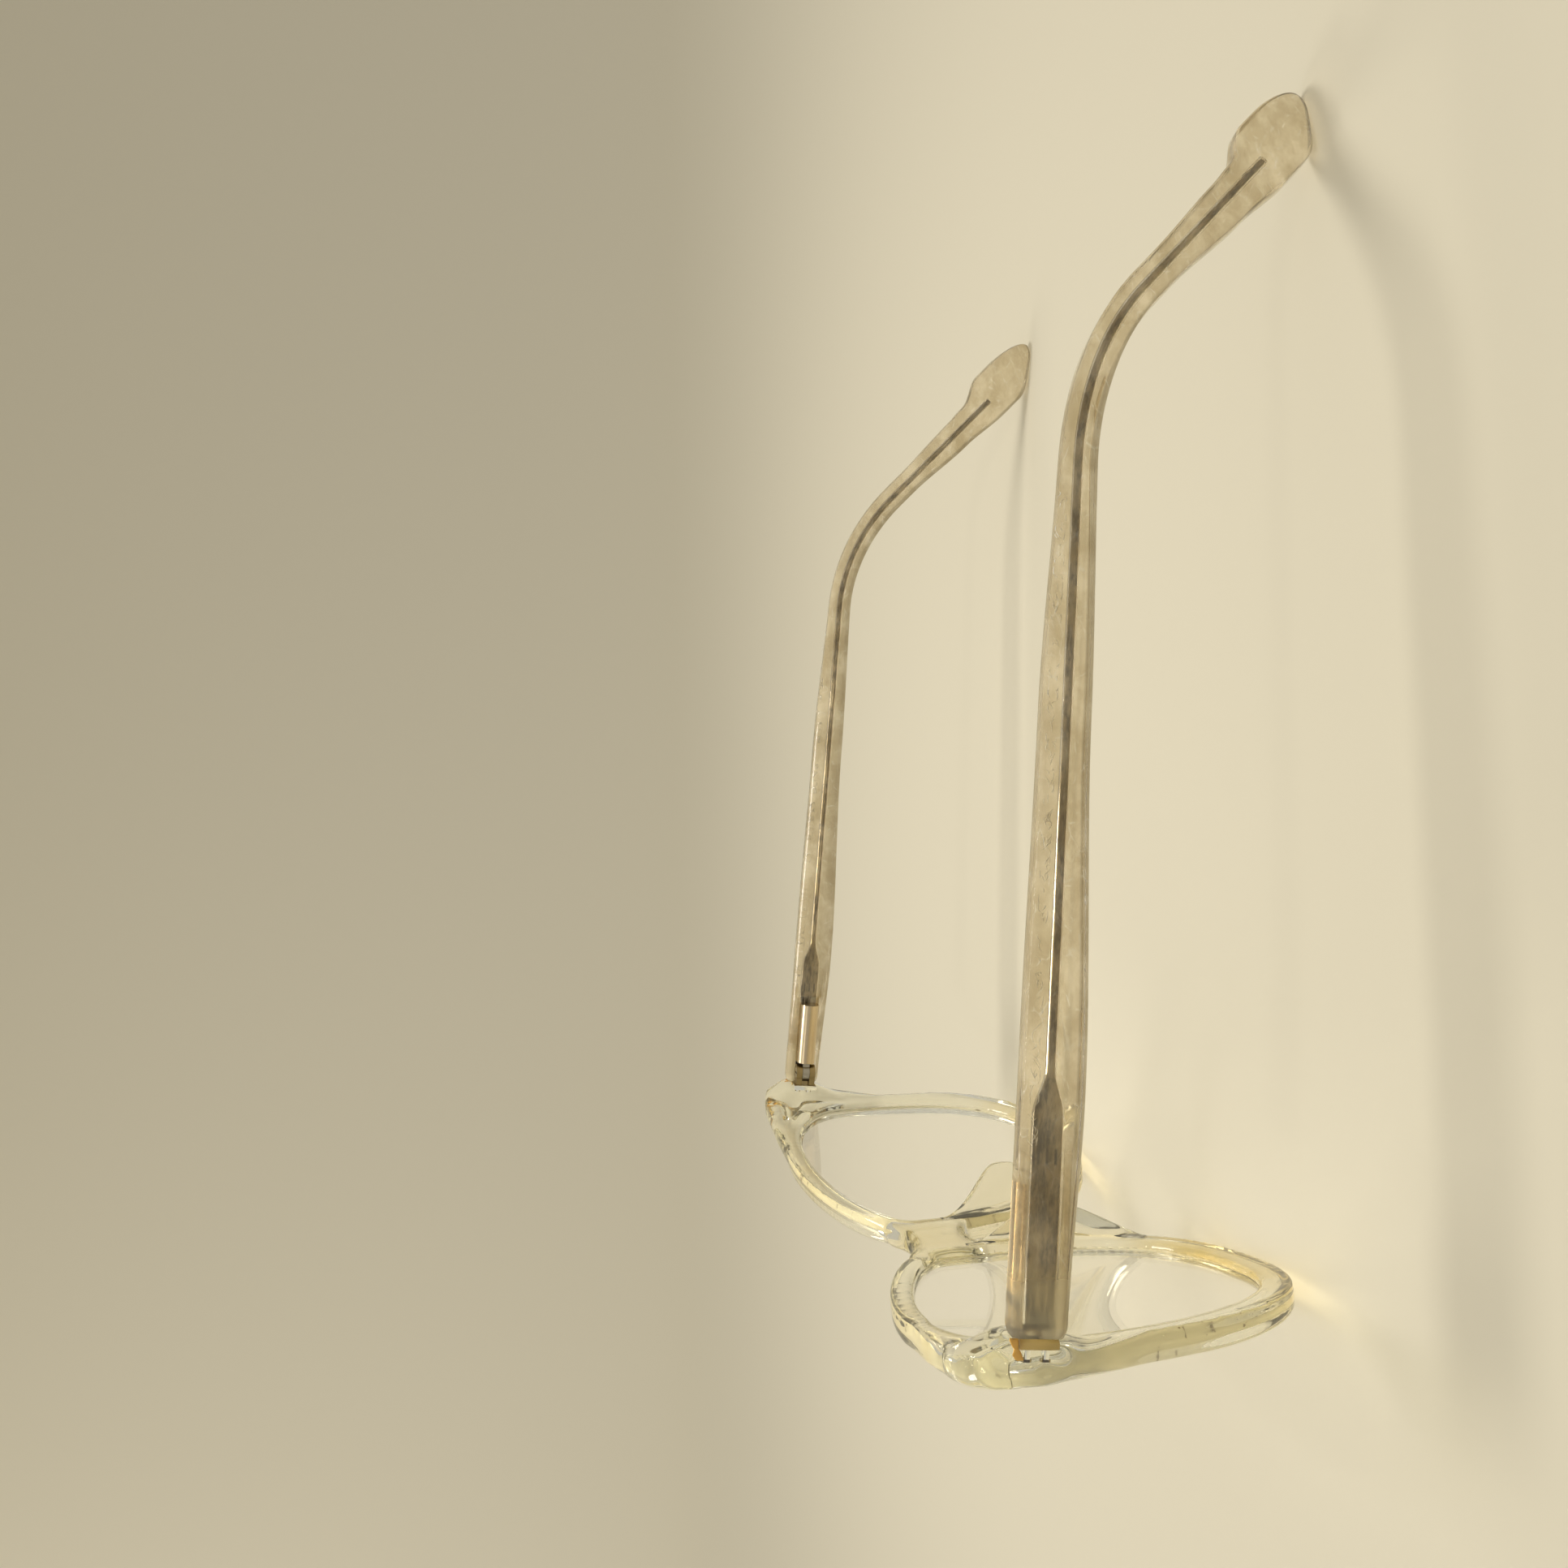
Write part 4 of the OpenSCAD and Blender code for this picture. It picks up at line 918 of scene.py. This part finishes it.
def thread_rings():
    """Short curved threads, laid at random: a three-sided section whose radius follows half a sine wave,
    carried along a parabola. The first axis counts the threads."""
    random = np.random.default_rng(THREAD_SEED)
    each = (THREADS, 1, 1)
    t = np.linspace(0, 1, 7)[None, :, None]
    length, heading, curl = (random.uniform(*ends, each) for ends in (THREAD_L, THREAD_HEADING, THREAD_CURL))
    s = random.uniform(*THREAD_ALONG, each) + length * np.cos(heading) * t
    up = random.uniform(*THREAD_UP, each) + length * np.sin(heading) * t + 4 * curl * t * (1 - t)
    radius = THREAD_END_R + THREAD_R * np.sin(np.pi * t)
    angle = np.arange(3) * 2 * np.pi / 3
    side = random.uniform(*THREAD_OUT, each) + radius * np.cos(angle)
    up = np.clip(up, *THREAD_UP) + radius * np.sin(angle)
    return on_temple(at_station(np.broadcast_to(s, side.shape), side, up))


def strands(name, rings):
    """Closed skins through many equal stacks of rings, as one mesh."""
    index = np.arange(rings[..., 0].size).reshape(rings.shape[:3])
    beside = np.roll(index, -1, 2)
    quads = np.stack([index[:, :-1], beside[:, :-1], beside[:, 1:], index[:, 1:]], -1).reshape(-1, 4)
    mesh = bpy.data.meshes.new(name)
    mesh.from_pydata(rings.reshape(-1, 3), [],
                     quads.tolist() + index[:, 0, ::-1].tolist() + index[:, -1].tolist())
    return outwards(name, mesh)


milky = {"Base Color": (0.90, 0.80, 0.58, 1), "Roughness": 0.5, "IOR": 1.05, "Transmission Weight": 0.45}
pearl_haze, tree, body = shader("pearl_haze", milky)
here, at = place_on(tree)
clouds = flow_in(tree, here, HAZE_FLOW)["Clouds"]
ahead = stepped(tree, at["Y"], HAZE_FADED, HAZE_FULL)
patchy = between(tree, clouds, HAZE_THIN, HAZE_THICK)
tree.links.new(worked(tree, "MULTIPLY", ahead, patchy), body.inputs["Alpha"])
clear_shadow(tree, body, 0.5)
pearl_thread = shader("pearl_thread", {"Base Color": (0.97, 0.95, 0.86, 1), "Roughness": 0.3})[0]
for side, word in SIDES:
    inside = [(strands("pearl_threads_" + word, mirrored(thread_rings(), side)), pearl_thread)]
    for name, low, high in HAZE_UP:
        first, last = zip(HAZE_OUT, HAZE_ALONG, (low, high))
        inside.append((block("pearl_haze_%s_%s" % (name, word), first, last, side), pearl_haze))
    for piece, look in inside:
        stood(piece)
        piece.data.materials.append(look)
        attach(piece, "temple_" + word)

# RESIN AND PRONG END SHADE
# Amber resin beds each hinge leaf in its end piece. It forms a thin film before and over the leaf, and a drop
# of it crept out on top. Small dark plates at the prongs' cut ends are painted shade, seen through the
# clear acetate.
DROP = np.array(((-2.17, 2.13), (-2.0, 2.44), (-1.6, 2.68), (-1.04, 2.56), (-0.55, 2.93), (-0.12, 3.0),
                 (-0.12, 2.07), (-0.67, 2.26), (-0.98, 2.1), (-1.22, 1.9), (-1.7, 1.65), (-2.1, 1.52)))
DROP_X, DROP_T, DROP_END = 0.62, 0.35, 0.15
FILM_OUT, FILM_T, FILM_FREE = 0.3, 0.12, 0.05
OVER_IN, OVER_LOW, OVER_HIGH = 1, 0.05, 0.2
CUT_NEAR, CUT_FAR, CUT_L, CUT_OVER = 0.05, 0.12, 0.3, 0.1


def drop_rings():
    """The drop's outline, shrunk towards its middle at both faces by the root of a sine, carried across."""
    corner = np.arange(len(DROP) + 1)
    step = np.linspace(0, len(DROP), 72, endpoint=False)
    shape = np.stack([np.interp(step, corner, np.append(DROP[:, i], DROP[0, i])) for i in (0, 1)], -1)
    middle = shape.mean(0)
    swell = np.sin(np.linspace(DROP_END, np.pi - DROP_END, 7))[:, None, None] ** 0.5
    y, z = np.moveaxis(middle + (shape - middle) * swell, -1, 0)
    x = DROP_X + DROP_T * np.linspace(-0.5, 0.5, 7)[:, None] + 0 * y
    return on_temple(np.stack([x, y, z], -1))


resin = shader("amber_resin", {"Base Color": (0.80, 0.42, 0.05, 1), "Roughness": 0.15})[0]
thin = {"Base Color": (0.86, 0.62, 0.2, 1), "Roughness": 0.2, "IOR": 1.38, "Transmission Weight": 0.3}
resin_film = shader("amber_resin_film", thin)[0]
# Painted shade: dark plates that stand for the shade at the prongs' cut ends.
prong_shade = shader("painted_shade_prong_end", {"Base Color": (0.05, 0.035, 0.025, 1), "Roughness": 0.4})[0]
leaf_front, leaf_back, leaf_top = -BUTT_GAP - LEAF_T, -BUTT_GAP - FILM_FREE, LEAF_H / 2
for side, word in SIDES:
    film = block("resin_film_" + word, (FILM_OUT, leaf_front, -leaf_top),
                 (FILM_OUT + FILM_T, leaf_back, leaf_top), side)
    over = block("resin_bed_" + word, (-LEAF_IN - OVER_IN, leaf_front, leaf_top + OVER_LOW),
                 (FILM_OUT, leaf_back, leaf_top + OVER_HIGH), side)
    drop = skin("resin_drop_" + word, mirrored(drop_rings(), side))
    bits = [(drop, resin), (film, resin_film), (over, resin_film)]
    for i, z in enumerate((-PRONG_Z, PRONG_Z)):
        low = (PRONG_X + PRONG_W + CUT_NEAR, leaf_front - PRONG_L, z - PRONG_W / 2)
        high = (PRONG_X + PRONG_W + CUT_FAR, leaf_front - PRONG_L + CUT_L, z + PRONG_W / 2 + CUT_OVER)
        bits.append((block("prong_end_%d_%s" % (i, word), low, high, side), prong_shade))
    for bit, look in bits:
        stood(bit)
        bit.data.materials.append(look)
        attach(bit, "front")

# HINGES
# Plated brass leaves, bedded in the end pieces, with turned steel screws through their barrels. Inside each
# plated spring box runs a steel slider with its nut and its coil spring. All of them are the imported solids.
METALS = {"hinge_leaf": ("hinge_brass", (0.34, 0.26, 0.13, 1), 0.3),
          "hinge_screw": ("screw_steel", (0.6, 0.58, 0.54, 1), 0.25),
          "slider": ("hinge_steel", (0.4, 0.38, 0.34, 1), 0.3),
          "slider_nut": ("hinge_steel_nut", (0.5, 0.48, 0.44, 1), 0.3),
          "return_spring": ("spring_steel", (0.6, 0.6, 0.6, 1), 0.25),
          "spring_box": ("box_metal", (0.62, 0.5, 0.32, 1), 0.25)}
for part, (name, colour, rough) in METALS.items():
    metal = shader(name, {"Base Color": colour, "Metallic": 1.0, "Roughness": rough})[0]
    for _, word in SIDES:
        node = frame["nodes"][part + "_" + word]
        node.data.materials.clear()
        node.data.materials.append(metal)

low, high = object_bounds()
